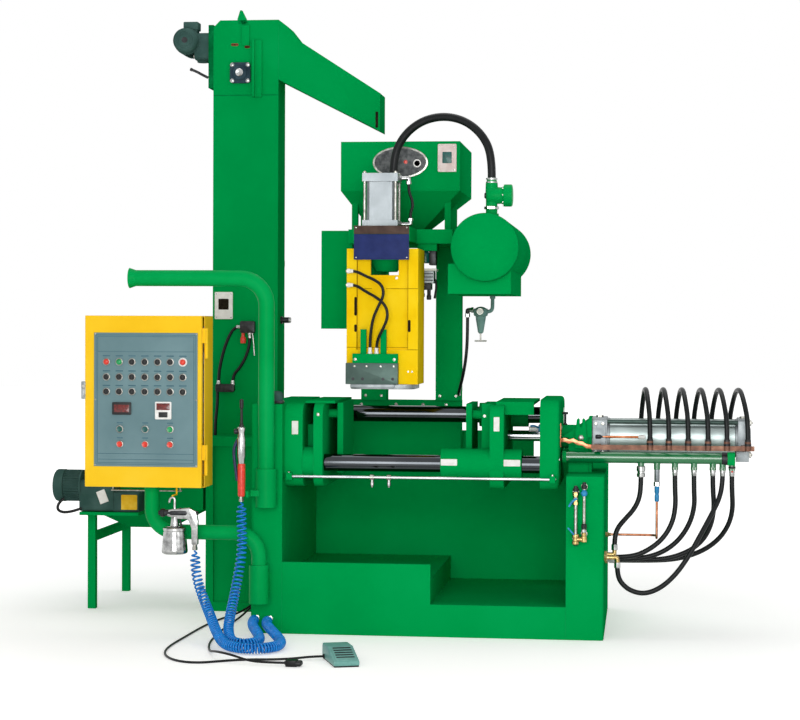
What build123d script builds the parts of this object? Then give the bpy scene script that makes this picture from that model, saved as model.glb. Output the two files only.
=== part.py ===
from build123d import *
import os
from math import pi, radians, tan

# Hot-box core shooting machine with a bucket elevator, in millimetres.
# X runs along the clamp, Y from the operator to the back, Z up from the floor.
# X is zero at the step of the sand tray and Y at the front of the base.
# main() moves everything so that the origin lies under the middle of the machine.

# Clearances and cuts
overrun = 5.0
seat_gap = 0.3
run_gap = 5.0

# Welded base
base_left = -730.0
base_len = 1420.0
base_depth = 960.0
base_corner = 14.0
left_post_w = 128.0
left_post_h = 925.0
right_post_w = 150.0
right_post_h = 650.0
sill_t = 20.0
left_sill_h = 290.0
right_sill_h = 130.0
step_x = 0.0
tray_z = 230.0
tray_t = 12.0
rear_t = 90.0
rear_h = 915.0

# Tie bars and clamp line
bar_dia = 70.0
front_bar_y = 110.0
front_bar_z = 687.0
rear_bar_y = 565.0
rear_bar_z = 868.0
clamp_y = 330.0
clamp_z = 792.0

# End plates and mould plates
plate_front = 52.0
plate_back = 650.0
plate_low = 590.0
plate_top = 927.0
plate_corner = 55.0
left_end_t = 74.0
fixed_boss_t = 44.0
fixed_boss_dia = 128.0
fixed_platen_t = 38.0
stud_len = 40.0
stud_dia = 36.0
heat_front = 190.0
heat_back = 490.0
heat_low = 640.0
heat_t = 24.0
stud_inset = 45.0
flange_gap = 201.0
moving_flange_t = 56.0
moving_back_t = 43.0
hub_dia = 124.0
front_hub_reach = 198.0
rear_hub_reach = 81.0
hub_tail = 127.0
cover_t = 10.0
guard_len = 154.0
guard_back = 600.0
guard_t = 12.0
guard_lip = 40.0
guard_setback = 68.0
guard_start = 19.0
right_end_gap = 108.0
right_end_t = 76.0
right_end_top = 950.0
right_end_round = 16.0

# Clamp cylinder and its mount
rod_dia = 45.0
rod_len = 780.0
neck_dia = 96.0
neck_bore = 60.0
mount_len = 126.0
mount_half = 95.0
mount_flange_t = 14.0
mount_web = 22.0
head_size = 164.0
head_len = 62.0
barrel_len = 526.0
barrel_dia = 150.0
barrel_wall = 10.0
tie_rod_dia = 18.0
tie_rod_inset = 17.0

# Manifolds, hose rail and nipples
manifold_dia = 46.0
manifold_y = 200.0
manifold_z = 715.0
manifold_len = 694.0
manifold_start = 7.0
rear_manifold_y = 462.0
hanger_t = 24.0
nipple_dia = 26.0
nipple_len = 24.0
drop_steps = (319.0, 383.0, 455.0, 531.0, 606.0, 682.0)
rail_y = 161.0
rail_t = 8.0
rail_z = 748.0
rail_h = 20.0
arch_front_steps = (235.0, 310.0, 387.0, 466.0, 541.0, 624.0)
arch_rear_steps = (316.0, 385.0, 459.0, 533.0, 605.0, 680.0)
ferrule_dia = 26.0
ferrule_len = 18.0
side_fitting_y = (180.0, 220.0, 260.0, 300.0)
side_fitting_z = (313.0, 301.0, 296.0, 287.0)
side_fitting_len = 28.0
up_elbow_y = 140.0
up_elbow_reach = 40.0
up_elbow_z = 328.0
down_elbow_y = 100.0
down_elbow_reach = 52.0
down_elbow_z = 320.0
elbow_rise = 24.0
long_drop_step = 645.0
copper_dia = 10.0
copper_drop = 280.0
copper_bend = 40.0
copper_y = 345.0

# Lug, T bolt, copper strap and gauge at the clamp cylinder
lug_plate_x = 25.0
lug_plate_w = 50.0
lug_plate_clear = 10.0
lug_plate_h = 124.0
lug_plate_t = 18.0
lug_plate_taper = 8.0
tee_bolt_x = 14.0
tee_bolt_dia = 10.0
tee_bolt_z = 892.0
tee_bolt_half = 10.0
strip_t = 4.0
strip_w = 30.0
strip_setback = 150.0
strip_low = 757.0
strip_h = 96.0
strap_h = 16.0
strap_rise = 24.0
strap_flat = 40.0
strap_foot = 36.0
gauge_start = 14.0
gauge_foot = 20.0
gauge_len = 202.0
gauge_dia = 8.0
gauge_h = 18.0
gauge_rise = 4.0
gauge_proud = 12.0

# Upper frame
column_w = 110.0
column_d = 100.0
left_column_x = -400.0
right_column_x = -69.0
column_setback = 10.0
beam_z = 1590.0
beam_t = 60.0
beam_front = 182.0
nose_left = -345.0
nose_right = -110.0
beam_shoulder_y = 440.0
side_box_w = 134.0
side_box_setback = 400.0
side_box_d = 200.0
side_box_h = 420.0
sign_left = -339.0
sign_w = 227.0
sign_h = 139.0
sign_rise = 3.0
sign_t = 8.0
valve_left = -108.0
valve_w = 82.0
valve_setback = 510.0
valve_d = 100.0
valve_h = 236.0
valve_slice = 34.0
valve_gap = 6.0

# Press cylinder
press_x = -243.0
press_y = 330.0
press_cap = 147.0
press_cap_t = 34.0
press_foot_t = 30.0
press_tube_w = 117.0
press_tube_h = 160.0
press_tube_round = 14.0
press_bore = 96.0
press_rod_dia = 40.0
press_rod_len = 210.0
elbow_dia = 22.0
upper_elbow_x = -132.0
lower_elbow_x = -124.0
elbow_tail = 26.0

# Shooting head
head_left = -371.0
head_right = -76.0
head_front = 200.0
head_back = 430.0
head_top = 1560.0
cheek_t = 42.0
cheek_foot = 1145.0
head_plate_t = 16.0
head_plate_set = 12.0
head_cap_t = 30.0
notch_left = -274.0
notch_right = -158.0
notch_z = 1452.0
block_foot = 1004.0
blow_face = 172.0
blow_right = -155.0
blow_top = 1091.0
blow_plate_t = 20.0
blow_inset = 14.0
lug_h = 38.0
lug_left = -343.0
lug_right = -157.0
lug_d = 26.0
bar_w = 23.0
bar_d = 18.0
bar_h = 138.0
clamp_bar_x = (-311.0, -228.0)
funnel_top_dia = 176.0
funnel_foot_dia = 92.0
funnel_h = 62.0
head_nipple_z = (1467.0, 1410.0)
head_nipple_y = 170.0
head_nipple_dia = 16.0

# Sand hopper
hopper_left = -451.0
hopper_right = 60.0
hopper_setback = 400.0
hopper_d = 590.0
hopper_top = 2030.0
hopper_knee = 1820.0
hopper_wall = 8.0
neck_left = -330.0
neck_right = -120.0
neck_setback = 140.0
neck_d = 200.0
hopper_post = 26.0
hopper_post_inset = 42.0
glass_x = -194.0
glass_z = 1940.0
glass_w = 254.0
glass_h = 150.0
glass_t = 10.0
switch_left = -34.0
switch_w = 80.0
switch_z = 1899.0
switch_h = 119.0
switch_t = 9.0

# Air tank
tank_x = 196.0
tank_z = 1566.0
tank_dia = 278.0
tank_front = 190.0
tank_len = 880.0
tank_wall = 6.0
dish_depth = 52.0
saddle_right = 300.0
saddle_low = 1376.0
saddle_top = 1500.0
saddle_front = 250.0
saddle_web = 12.0
valve_body_dia = 72.0
valve_body_len = 110.0
valve_cap_dia = 92.0
valve_cap_len = 38.0
valve_rise = 80.0
valve_nose_h = 73.0
valve_back = 22.0
tank_valve_y = 350.0
tank_valve_x = 212.0
spigot_dia = 48.0
regulator_x = 142.0
regulator_setback = 270.0
regulator_body = 62.0
regulator_body_h = 90.0
regulator_bowl = 46.0
regulator_bowl_h = 70.0
regulator_stem = 26.0
regulator_stem_h = 40.0
regulator_port = 24.0
port_x = 85.0
port_tail = 21.5
blow_stub_x = -214.0
blow_stub_y = 470.0
blow_stub_dia = 58.0
blow_stub_h = 207.0

# Bucket elevator
casing_left = -1057.0
casing_w = 292.0
casing_setback = 170.0
casing_d = 172.0
casing_rise = 493.0
casing_chamfer = 30.0
chute_end_x = -313.0
chute_gap = 67.0
chute_end_h = 166.0
chute_root_drop = 263.0
chute_wall = 6.0
chute_knee = 37.0
chute_knee_drop = 28.0
chute_hip = 87.0
chute_hip_drop = 91.0
chute_mouth = 70.0
boot_left = -1045.0
boot_right = -770.0
boot_d = 192.0
boot_top = 757.0
boot_post = 34.0
boot_rail = 40.0
lug_x = -934.0
lug_half = 30.0
lug_rise = 45.0
lug_t = 22.0
bearing_x = -935.0
bearing_drop = 233.0
bearing_w = 92.0
bearing_t = 16.0
bearing_dia = 66.0
bearing_nose = 18.0
takeup_x = -874.0
takeup_w = 36.0
takeup_drop = 340.0
takeup_h = 250.0
takeup_t = 12.0
motor_plate_t = 23.0
motor_plate_drop = 298.0
motor_plate_h = 279.0
gearbox_w = 66.0
gearbox_drop = 170.0
gearbox_h = 120.0
motor_x = -1178.0
motor_drop = 90.0
motor_dia = 118.0
motor_len = 190.0
motor_overhang = 45.0
motor_cowl = 128.0
motor_cowl_len = 44.0
station_left = -1047.0
station_w = 81.0
station_z = 1270.0
station_h = 120.0
station_t = 8.0
stay_z = 700.0
stay_dia = 40.0
stay_setback = 90.0
stub_len = 46.0
stub_dia = 26.0
stub_z = 1267.0
tee_left = -925.0
tee_w = 66.0
tee_low = 1209.0
tee_h = 53.0
tee_d = 40.0
knob_x = -912.0
knob_dia = 26.0
knob_h = 46.0
wye_left = -1035.0
wye_w = 85.0
wye_low = 948.0
wye_h = 36.0
wye_d = 45.0
valve_hose_setback = 38.0

# Sand feeder beside the elevator
feeder_left = -1571.0
feeder_overhang = 190.0
feeder_d = 625.0
feeder_top = 757.0
feeder_knee = 440.0
feeder_foot = 340.0
feeder_wall = 6.0
feeder_out_left = -1435.0
feeder_out_right = -1250.0
feeder_out_setback = 200.0
feeder_out_d = 230.0
leg_w = 34.0
brace_z = 330.0
drive_x = -1690.0
drive_z = 546.0
drive_overhang = 80.0
drive_dia = 140.0
drive_len = 120.0
drive_box_len = 150.0
drive_box_w = 120.0
drive_box_h = 110.0
drive_gear_len = 110.0
drive_gear_h = 86.0
drive_gear_low = 436.0
drive_shelf_t = 14.0

# Control box on its arm
box_left = -1368.0
box_w = 480.0
box_low = 598.0
box_h = 682.0
box_d = 150.0
box_back = 0.0
box_wall = 3.0
door_t = 22.0
hinge_dia = 14.0
hinge_len = 60.0
hinge_shares = (0.16, 0.84)
panel_left = -1311.0
panel_w = 383.0
panel_low = 663.0
panel_h = 540.0
panel_t = 3.0
button_dia = 26.0
button_h = 14.0
button_cols = 7
button_pitch = 47.7
button_row_z = (1087.0, 1026.0, 968.0)
lamp_row_z = (813.0, 753.0)
lamp_col_shares = (0.258, 0.504, 0.756)
display_z = 869.0
display_w = 70.0
display_h = 58.0
display_shares = (0.277, 0.689)
display_t = 5.0
latch_share = 0.563
latch_h = 62.0
latch_t = 12.0
arm_dia = 60.0
arm_y = -75.0
arm_x = -1119.0
arm_z = 413.0
arm_bend = 95.0
arm_socket_x = -682.0
arm_socket_low = 131.0
arm_socket_h = 155.0
arm_socket_dia = 78.0
socket_floor = 9.0
boom_dia = 65.0
boom_x = -660.0
boom_z = 1432.0
boom_bend = 110.0
boom_end_x = -1195.0
boom_flare_dia = 82.0
boom_flare_len = 26.0
boom_socket_low = 514.0
boom_socket_h = 155.0
boom_socket_dia = 84.0
bracket_w = 60.0
bracket_h = 80.0

# Guns, valves and small fittings
gun_x = -1000.0
gun_y = -185.0
cup_dia = 104.0
cup_low = 336.0
cup_h = 104.0
cup_neck = 36.0
gun_body_h = 46.0
gun_body_len = 190.0
gun_body_w = 34.0
gun_grip_w = 26.0
hanger_dia = 7.0
hanger_x = -1010.0
hanger_drop = 32.0
airgun_x = -742.0
airgun_y = -135.0
airgun_low = 543.0
airgun_h = 240.0
airgun_dia = 36.0
airgun_nose_h = 168.0
airgun_nose_dia = 20.0
hook_t = 10.0
hook_z = 560.0
hook_h = 24.0
coil_port_x = (-650.0, -704.0)
coil_port_z = (60.0, 62.0)
coil_port_dia = 24.0
coil_port_len = 30.0
cock_steps = (39.0, 72.0)
cock_z = (380.0, 400.0)
cock_dia = 22.0
cock_h = 230.0
cock_y = 30.0
cock_body = 40.0
cock_body_h = 46.0
cock_body_share = 0.42
cock_foot = 26.0
limit_y = 30.0
limit_z = 634.0
limit_dia = 12.0
limit_clamp_w = 24.0
limit_clamp_h = 30.0
limit_over = 14.0
limit_switch_x = (-240.0, -172.0)
limit_switch_w = 20.0
limit_switch_h = 40.0
solenoid_x = -690.0
solenoid_w = 78.0
solenoid_d = 60.0
solenoid_h = 52.0
solenoid_y = 60.0
pedal_x = -262.0
pedal_y = -665.0
pedal_turn = 20.0
pedal_len = 224.0
pedal_w = 96.0
pedal_h = 60.0
pedal_toe = 22.0
plug_x = -420.0
plug_y = -779.0
plug_len = 66.0
plug_w = 44.0
plug_h = 26.0
gland_reach = 22.0
gland_dia = 22.0

# Hose diameters and the share of the shorter run that an arc of a hose takes
hose_share = 0.45
blow_hose_dia = 34.0
arch_hose_dia = 20.0
drop_hose_dia = 20.0
head_hose_dia = 12.0
regulator_hose_dia = 14.0
press_hose_dia = 12.0
valve_hose_dia = 14.0
coil_dia = 44.0
cable_dia = 9.0

# Routes of the free hoses and cables, each from the place that its first comment line names
# Blow hose, from the top of the tank valve
blow_hose_steps = [(0.0, 0.0, 0.0), (0.0, 0.0, 96.0), (-42.0, 20.0, 183.0), (-118.0, 40.0, 244.0),
                   (-213.0, 60.0, 265.0), (-308.0, 80.0, 244.0), (-384.0, 100.0, 183.0),
        (-426.0, 120.0, 96.0),
                   (-426.0, 120.0, -1.0)]
# Hose of the press cylinder, from the lower end of its upper elbow
press_hose_steps = [(0.0, 0.0, 0.0), (0.0, 0.0, -30.0), (14.0, 0.0, -62.0), (18.0, 0.0, -92.0),
                    (8.0, 0.0, -116.0),
                    (8.0, 0.0, -139.0)]
# Arches, seen along X, from the machine's zero
arch_top_route = [(462.0, 756.0), (462.0, 850.0), (438.0, 935.0), (372.0, 988.0), (272.0, 988.0),
                  (198.0, 935.0),
                  (165.0, 862.0), (165.0, 786.0)]
# Drops, from the right side of the base
drop_hose_routes = [
    [(144.0, 200.0, 668.0), (144.0, 200.0, 606.0), (138.0, 196.0, 550.0), (116.0, 184.0, 506.0),
     (82.0, 166.0, 470.0), (52.0, 148.0, 436.0), (40.0, 140.0, 396.0), (40.0, 140.0, 352.0)],
    [(280.0, 200.0, 668.0), (280.0, 200.0, 596.0), (284.0, 199.0, 526.0), (272.0, 196.0, 456.0),
     (236.0, 190.0, 392.0), (178.0, 184.0, 344.0), (106.0, 180.0, 313.0), (28.0, 180.0, 313.0)],
    [(356.0, 200.0, 668.0), (356.0, 200.0, 596.0), (360.0, 206.0, 520.0), (338.0, 214.0, 442.0),
     (288.0, 220.0, 370.0), (216.0, 222.0, 322.0), (122.0, 220.0, 301.0), (28.0, 220.0, 301.0)],
    [(431.0, 200.0, 668.0), (431.0, 200.0, 596.0), (438.0, 212.0, 520.0), (428.0, 230.0, 446.0),
     (396.0, 248.0, 380.0), (336.0, 258.0, 330.0), (244.0, 262.0, 298.0), (136.0, 260.0, 296.0),
     (28.0, 260.0, 296.0)],
    [(507.0, 200.0, 668.0), (507.0, 200.0, 592.0), (513.0, 218.0, 514.0), (498.0, 246.0, 444.0),
     (458.0, 274.0, 380.0), (390.0, 294.0, 328.0), (290.0, 302.0, 294.0), (160.0, 300.0, 287.0),
     (28.0, 300.0, 287.0)],
    [(470.0, 200.0, 668.0), (470.0, 200.0, 618.0), (458.0, 186.0, 556.0), (424.0, 158.0, 490.0),
     (382.0, 130.0, 414.0), (338.0, 110.0, 334.0), (286.0, 100.0, 258.0), (226.0, 97.0, 202.0),
     (162.0, 97.0, 176.0), (104.0, 98.0, 188.0), (64.0, 100.0, 222.0), (52.0, 100.0, 262.0),
     (52.0, 100.0, 296.0)]]
# Hoses of the shooting head, from the machine's zero
head_hose_routes = [
    [(-354.0, 170.0, 1467.0), (-328.0, 170.0, 1467.0), (-292.0, 165.0, 1448.0), (-252.0, 160.0, 1432.0),
     (-218.0, 157.0, 1408.0), (-212.0, 157.0, 1366.0), (-236.0, 160.0, 1322.0), (-258.0, 166.0, 1272.0),
     (-268.0, 176.0, 1216.0), (-272.0, 186.0, 1172.0), (-272.0, 186.0, 1129.0)],
    [(-354.0, 170.0, 1410.0), (-328.0, 170.0, 1410.0), (-292.0, 162.0, 1386.0), (-246.0, 152.0, 1362.0),
     (-206.0, 146.0, 1332.0), (-192.0, 146.0, 1288.0), (-208.0, 150.0, 1242.0), (-232.0, 164.0, 1202.0),
     (-245.0, 186.0, 1168.0), (-245.0, 186.0, 1129.0)]]
# Hose of the regulator, from the lower end of its port
regulator_hose_steps = [(0.0, 0.0, 0.0), (0.0, 0.0, -60.0), (-2.0, 4.0, -132.0), (-9.0, 12.0, -202.0),
                        (-23.0, 32.0, -270.0), (-39.0, 70.0, -322.0), (-49.0, 116.0, -349.0),
                        (-49.0, 160.0, -349.0)]
# Hoses of the elevator's valve, Y from the middle of its ports
valve_hose_routes = [
    [(-925.0, 0.0, 1236.0), (-950.0, 0.0, 1236.0), (-978.0, 0.0, 1190.0), (-998.0, 0.0, 1135.0),
     (-1012.0, 0.0, 1078.0), (-1021.0, 0.0, 1028.0), (-1021.0, 0.0, 984.0)],
    [(-882.0, 0.0, 1209.0), (-882.0, 0.0, 1165.0), (-897.0, 0.0, 1108.0), (-925.0, 0.0, 1057.0),
     (-958.0, 0.0, 1022.0), (-958.0, 0.0, 984.0)],
    [(-1026.0, 0.0, 948.0), (-1026.0, 0.0, 906.0), (-1030.0, -3.0, 858.0), (-1034.0, -8.0, 808.0),
     (-1034.0, -8.0, 757.0)]]
# Spiral hoses of the guns, from the machine's zero
coil_routes = [
    [(-918.0, -185.0, 352.0), (-918.0, -185.0, 290.0), (-900.0, -206.0, 222.0), (-866.0, -246.0, 160.0),
     (-826.0, -312.0, 106.0), (-786.0, -396.0, 60.0), (-742.0, -476.0, 28.0), (-676.0, -536.0, 24.0),
     (-596.0, -544.0, 24.0), (-540.0, -490.0, 24.0), (-530.0, -404.0, 24.0), (-556.0, -308.0, 28.0),
     (-604.0, -212.0, 44.0), (-650.0, -110.0, 60.0), (-650.0, -30.0, 60.0)],
    [(-742.0, -135.0, 543.0), (-742.0, -135.0, 472.0), (-736.0, -140.0, 396.0), (-738.0, -154.0, 320.0),
     (-746.0, -180.0, 246.0), (-752.0, -220.0, 176.0), (-756.0, -278.0, 112.0), (-752.0, -346.0, 62.0),
     (-726.0, -412.0, 28.0), (-676.0, -440.0, 24.0), (-634.0, -408.0, 24.0), (-626.0, -336.0, 26.0),
     (-650.0, -250.0, 34.0), (-690.0, -160.0, 52.0), (-704.0, -90.0, 62.0), (-704.0, -30.0, 62.0)]]
# Cables on the floor, from the machine's zero
cable_routes = [
    [(-752.0, 560.0, 60.0), (-792.0, 560.0, 60.0), (-830.0, 548.0, 38.0), (-866.0, 512.0, 14.0),
     (-898.0, 440.0, 5.0), (-922.0, 340.0, 5.0), (-940.0, 224.0, 5.0), (-950.0, 100.0, 5.0),
     (-956.0, -30.0, 5.0), (-960.0, -160.0, 5.0), (-965.0, -290.0, 5.0), (-967.0, -415.0, 5.0),
     (-958.0, -530.0, 5.0), (-932.0, -630.0, 5.0), (-886.0, -716.0, 5.0), (-826.0, -768.0, 5.0),
     (-764.0, -770.0, 5.0), (-712.0, -734.0, 5.0), (-656.0, -696.0, 5.0), (-590.0, -672.0, 5.0),
     (-510.0, -662.0, 5.0), (-436.0, -652.0, 9.0), (-381.0, -634.0, 14.0), (-331.0, -616.0, 14.0)],
    [(-752.0, 440.0, 60.0), (-788.0, 440.0, 60.0), (-820.0, 426.0, 36.0), (-842.0, 380.0, 12.0),
     (-852.0, 290.0, 5.0), (-854.0, 180.0, 5.0), (-853.0, 60.0, 5.0), (-850.0, -70.0, 5.0),
     (-842.0, -200.0, 5.0), (-830.0, -322.0, 5.0), (-808.0, -436.0, 5.0), (-780.0, -536.0, 9.0),
     (-750.0, -622.0, 24.0), (-712.0, -688.0, 32.0), (-656.0, -734.0, 30.0), (-588.0, -766.0, 15.0),
     (-520.0, -779.0, 13.0), (-453.0, -779.0, 13.0)]]

# Places that follow from the sizes above
base_right = base_left + base_len
left_post_in = base_left + left_post_w
right_post_in = base_right - right_post_w
rear_front = base_depth - rear_t
right_end_x = right_post_in - right_end_gap
moving_flange_x = right_end_x - flange_gap
front_hub_x = moving_flange_x - front_hub_reach
rear_hub_x = moving_flange_x - rear_hub_reach
hub_end_x = moving_flange_x + hub_tail
left_end_in = left_post_in + left_end_t
fixed_back_x = left_end_in + fixed_boss_t
fixed_face_x = fixed_back_x + fixed_platen_t
fixed_heat_x = fixed_face_x + stud_len
moving_back_x = moving_flange_x - moving_back_t
moving_heat_x = moving_back_x - stud_len - heat_t
moving_face_x = moving_flange_x + moving_flange_t
right_end_out = right_end_x + right_end_t
cyl_x = right_end_out + mount_len
barrel_x = cyl_x + head_len
cyl_tail_x = barrel_x + barrel_len
cyl_end = cyl_tail_x + head_len
cyl_front = clamp_y - head_size / 2
cyl_back = clamp_y + head_size / 2
manifold_x = right_end_out + manifold_start
drop_x = tuple(manifold_x + step for step in drop_steps)
long_drop_x = manifold_x + long_drop_step
arch_rear_x = tuple(manifold_x + step for step in arch_rear_steps)
arch_front_x = tuple(cyl_x + step for step in arch_front_steps)
up_elbow_x = base_right + up_elbow_reach
down_elbow_x = base_right + down_elbow_reach
cock_x = tuple(right_post_in + step for step in cock_steps)
column_y = base_depth - column_setback - column_d
column_back = column_y + column_d
beam_top = beam_z + beam_t
frame_left = left_column_x
frame_right = right_column_x + column_w
head_mid_x = (head_left + head_right) / 2
side_box_front = base_depth - side_box_setback
valve_front = base_depth - valve_setback
hopper_front = base_depth - hopper_setback
hopper_back = hopper_front + hopper_d
neck_front = hopper_front + neck_setback
neck_back = neck_front + neck_d
regulator_y = base_depth - regulator_setback
chute_low = hopper_top + chute_gap
casing_top = chute_low + casing_rise
casing_right = casing_left + casing_w
casing_front = base_depth - casing_setback
casing_back = casing_front + casing_d
boot_front = casing_front - boot_d
chute_root_low = casing_top - chute_root_drop
bearing_z = casing_top - bearing_drop
takeup_low = casing_top - takeup_drop
motor_plate_low = casing_top - motor_plate_drop
gearbox_z = casing_top - gearbox_drop
motor_z = casing_top - motor_drop
motor_front = casing_front - motor_overhang
stay_y = base_depth - stay_setback
feeder_front = casing_front - feeder_overhang
feeder_back = feeder_front + feeder_d
feeder_out_front = feeder_front + feeder_out_setback
feeder_out_back = feeder_out_front + feeder_out_d
drive_y = feeder_front - drive_overhang
box_front = box_back - box_d
box_right = box_left + box_w
box_top = box_low + box_h
door_front = box_front - run_gap - door_t
boom_y = -(boom_socket_dia / 2 + seat_gap)


def span(x0, x1, y0, y1, z0, z1):
    return Pos((x0 + x1) / 2, (y0 + y1) / 2, (z0 + z1) / 2) * Box(x1 - x0, y1 - y0, z1 - z0)


def bar_x(x0, x1, y, z, dia):
    return Pos((x0 + x1) / 2, y, z) * Rot(0, 90, 0) * Cylinder(dia / 2, x1 - x0)


def bar_y(y0, y1, x, z, dia):
    return Pos(x, (y0 + y1) / 2, z) * Rot(90, 0, 0) * Cylinder(dia / 2, y1 - y0)


def bar_z(z0, z1, x, y, dia):
    return Pos(x, y, (z0 + z1) / 2) * Cylinder(dia / 2, z1 - z0)


def panel_xz(points, y0, y1):
    face = Plane((0, y1, 0), x_dir=(1, 0, 0), z_dir=(0, -1, 0)) * make_face(Polyline(*points, close=True))
    return extrude(face, amount=y1 - y0)


def panel_yz(points, x0, x1):
    face = Plane((x0, 0, 0), x_dir=(0, 1, 0), z_dir=(1, 0, 0)) * make_face(Polyline(*points, close=True))
    return extrude(face, amount=x1 - x0)


def panel_xy(points, z0, z1):
    face = Pos(0, 0, z0) * make_face(Polyline(*points, close=True))
    return extrude(face, amount=z1 - z0)


def rounded_yz(x0, x1, y0, y1, z0, z1, radius):
    plate = span(x0, x1, y0, y1, z0, z1)
    return fillet(plate.edges().filter_by(Axis.X), radius)


def pile(shapes):
    return Compound([solid for shape in shapes for solid in shape.solids()])


def tie_bores(x0, x1):
    front = bar_x(x0 - overrun, x1 + overrun, front_bar_y, front_bar_z, bar_dia + 2 * seat_gap)
    rear = bar_x(x0 - overrun, x1 + overrun, rear_bar_y, rear_bar_z, bar_dia + 2 * seat_gap)
    return front + rear


def hose(points, dia):
    radii = []
    for before, here, after in zip(points, points[1:], points[2:]):
        run_in = Vector(here) - Vector(before)
        run_out = Vector(after) - Vector(here)
        turn = run_in.get_angle(run_out)
        radii.append(hose_share * min(run_in.length, run_out.length) / tan(radians(turn / 2)))
    path = FilletPolyline(*points, radius=radii)
    tube = sweep(Plane(path @ 0, z_dir=path % 0) * Circle(dia / 2), path=path)
    section = pi * (dia / 2) ** 2
    print("hose", round(path.length), "mm, volume share", round(tube.volume / (section * path.length), 4),
          "radii", [round(radius) for radius in radii])
    return tube


# Base


def left_pedestal():
    post = span(base_left, left_post_in, 0, base_depth, 0, left_post_h)
    return fillet(post.edges().filter_by(Axis.Z).group_by(Axis.Y)[0].group_by(Axis.X)[0], base_corner)


def right_pedestal():
    post = span(right_post_in, base_right, 0, base_depth, 0, right_post_h)
    return fillet(post.edges().filter_by(Axis.Z).group_by(Axis.Y)[0].group_by(Axis.X)[-1], base_corner)


def front_sill():
    outline = [(left_post_in, 0), (right_post_in, 0), (right_post_in, right_sill_h), (step_x, right_sill_h),
               (step_x, left_sill_h), (left_post_in, left_sill_h)]
    return panel_xz(outline, 0, sill_t)


def sand_tray():
    low_z = right_sill_h - tray_t
    outline = [(left_post_in, tray_z - tray_t), (step_x - tray_t, tray_z - tray_t), (step_x - tray_t, low_z),
               (right_post_in, low_z), (right_post_in, right_sill_h), (step_x, right_sill_h),
               (step_x, tray_z), (left_post_in, tray_z)]
    return panel_xz(outline, sill_t, rear_front)


def rear_box():
    outline = [(left_post_in, 0), (right_post_in, 0), (right_post_in, right_post_h),
               (frame_right, right_post_h), (frame_right, rear_h), (left_post_in, rear_h)]
    return panel_xz(outline, rear_front, base_depth)


# Clamp


def left_end_plate():
    plate = rounded_yz(left_post_in, left_end_in, plate_front, plate_back, plate_low, plate_top, plate_corner)
    return plate - tie_bores(left_post_in, left_end_in)


def fixed_platen():
    plate = rounded_yz(fixed_back_x, fixed_face_x, plate_front, plate_back, plate_low, plate_top,
                       plate_corner)
    front_boss = bar_x(left_end_in, fixed_back_x, front_bar_y, front_bar_z, fixed_boss_dia)
    rear_boss = bar_x(left_end_in, fixed_back_x, rear_bar_y, rear_bar_z, fixed_boss_dia - bar_w)
    rib = span(left_end_in, fixed_back_x, heat_front, heat_back, clamp_z - stud_inset, clamp_z + stud_inset)
    cover = span(left_end_in, fixed_heat_x, plate_front + guard_setback, guard_back, plate_top,
                 plate_top + cover_t)
    return plate + front_boss + rear_boss + rib + cover - tie_bores(left_end_in, fixed_face_x)


def stud_places():
    for y in (heat_front + stud_inset, heat_back - stud_inset):
        for z in (heat_low + stud_inset, plate_top - stud_inset):
            yield y, z


def fixed_heat_plate():
    plate = span(fixed_heat_x, fixed_heat_x + heat_t, heat_front, heat_back, heat_low, plate_top)
    for y, z in stud_places():
        plate += bar_x(fixed_face_x, fixed_heat_x, y, z, stud_dia)
    return plate


def tie_bars():
    front = bar_x(left_post_in, right_end_out, front_bar_y, front_bar_z, bar_dia)
    rear = bar_x(left_post_in, right_end_out, rear_bar_y, rear_bar_z, bar_dia)
    return pile([front, rear])


def moving_platen():
    flange = rounded_yz(moving_flange_x, moving_face_x, plate_front, plate_back, plate_low, plate_top,
                        plate_corner)
    front_hub = bar_x(front_hub_x, hub_end_x, front_bar_y, front_bar_z, hub_dia)
    rear_hub = bar_x(rear_hub_x, hub_end_x, rear_bar_y, rear_bar_z, hub_dia - bar_w)
    back = span(moving_back_x, moving_flange_x, heat_front, heat_back, heat_low, plate_top)
    return flange + front_hub + rear_hub + back + platen_guard() - tie_bores(front_hub_x, hub_end_x)


def moving_heat_plate():
    plate = span(moving_heat_x, moving_heat_x + heat_t, heat_front, heat_back, heat_low, plate_top)
    for y, z in stud_places():
        plate += bar_x(moving_heat_x + heat_t, moving_back_x, y, z, stud_dia)
    return plate


def platen_guard():
    start = moving_flange_x + guard_start
    front = plate_front + guard_setback
    sheet = span(start, start + guard_len, front, guard_back, plate_top, plate_top + guard_t)
    lip = span(moving_face_x, start + guard_len, front, front + guard_t, plate_top - guard_lip, plate_top)
    return sheet + lip


def piston_rod():
    return bar_x(moving_face_x, moving_face_x + rod_len, clamp_y, clamp_z, rod_dia)


def right_end_plate():
    plate = rounded_yz(right_end_x, right_end_out, plate_front, plate_back, plate_low, right_end_top,
                       plate_corner)
    top_edge = plate.edges().filter_by(Axis.Y).group_by(Axis.Z)[-1].group_by(Axis.X)[-1]
    plate = fillet(top_edge, right_end_round)
    bore = bar_x(right_end_x - overrun, right_end_out + overrun, clamp_y, clamp_z, neck_bore)
    return plate - tie_bores(right_end_x, right_end_out) - bore


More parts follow.
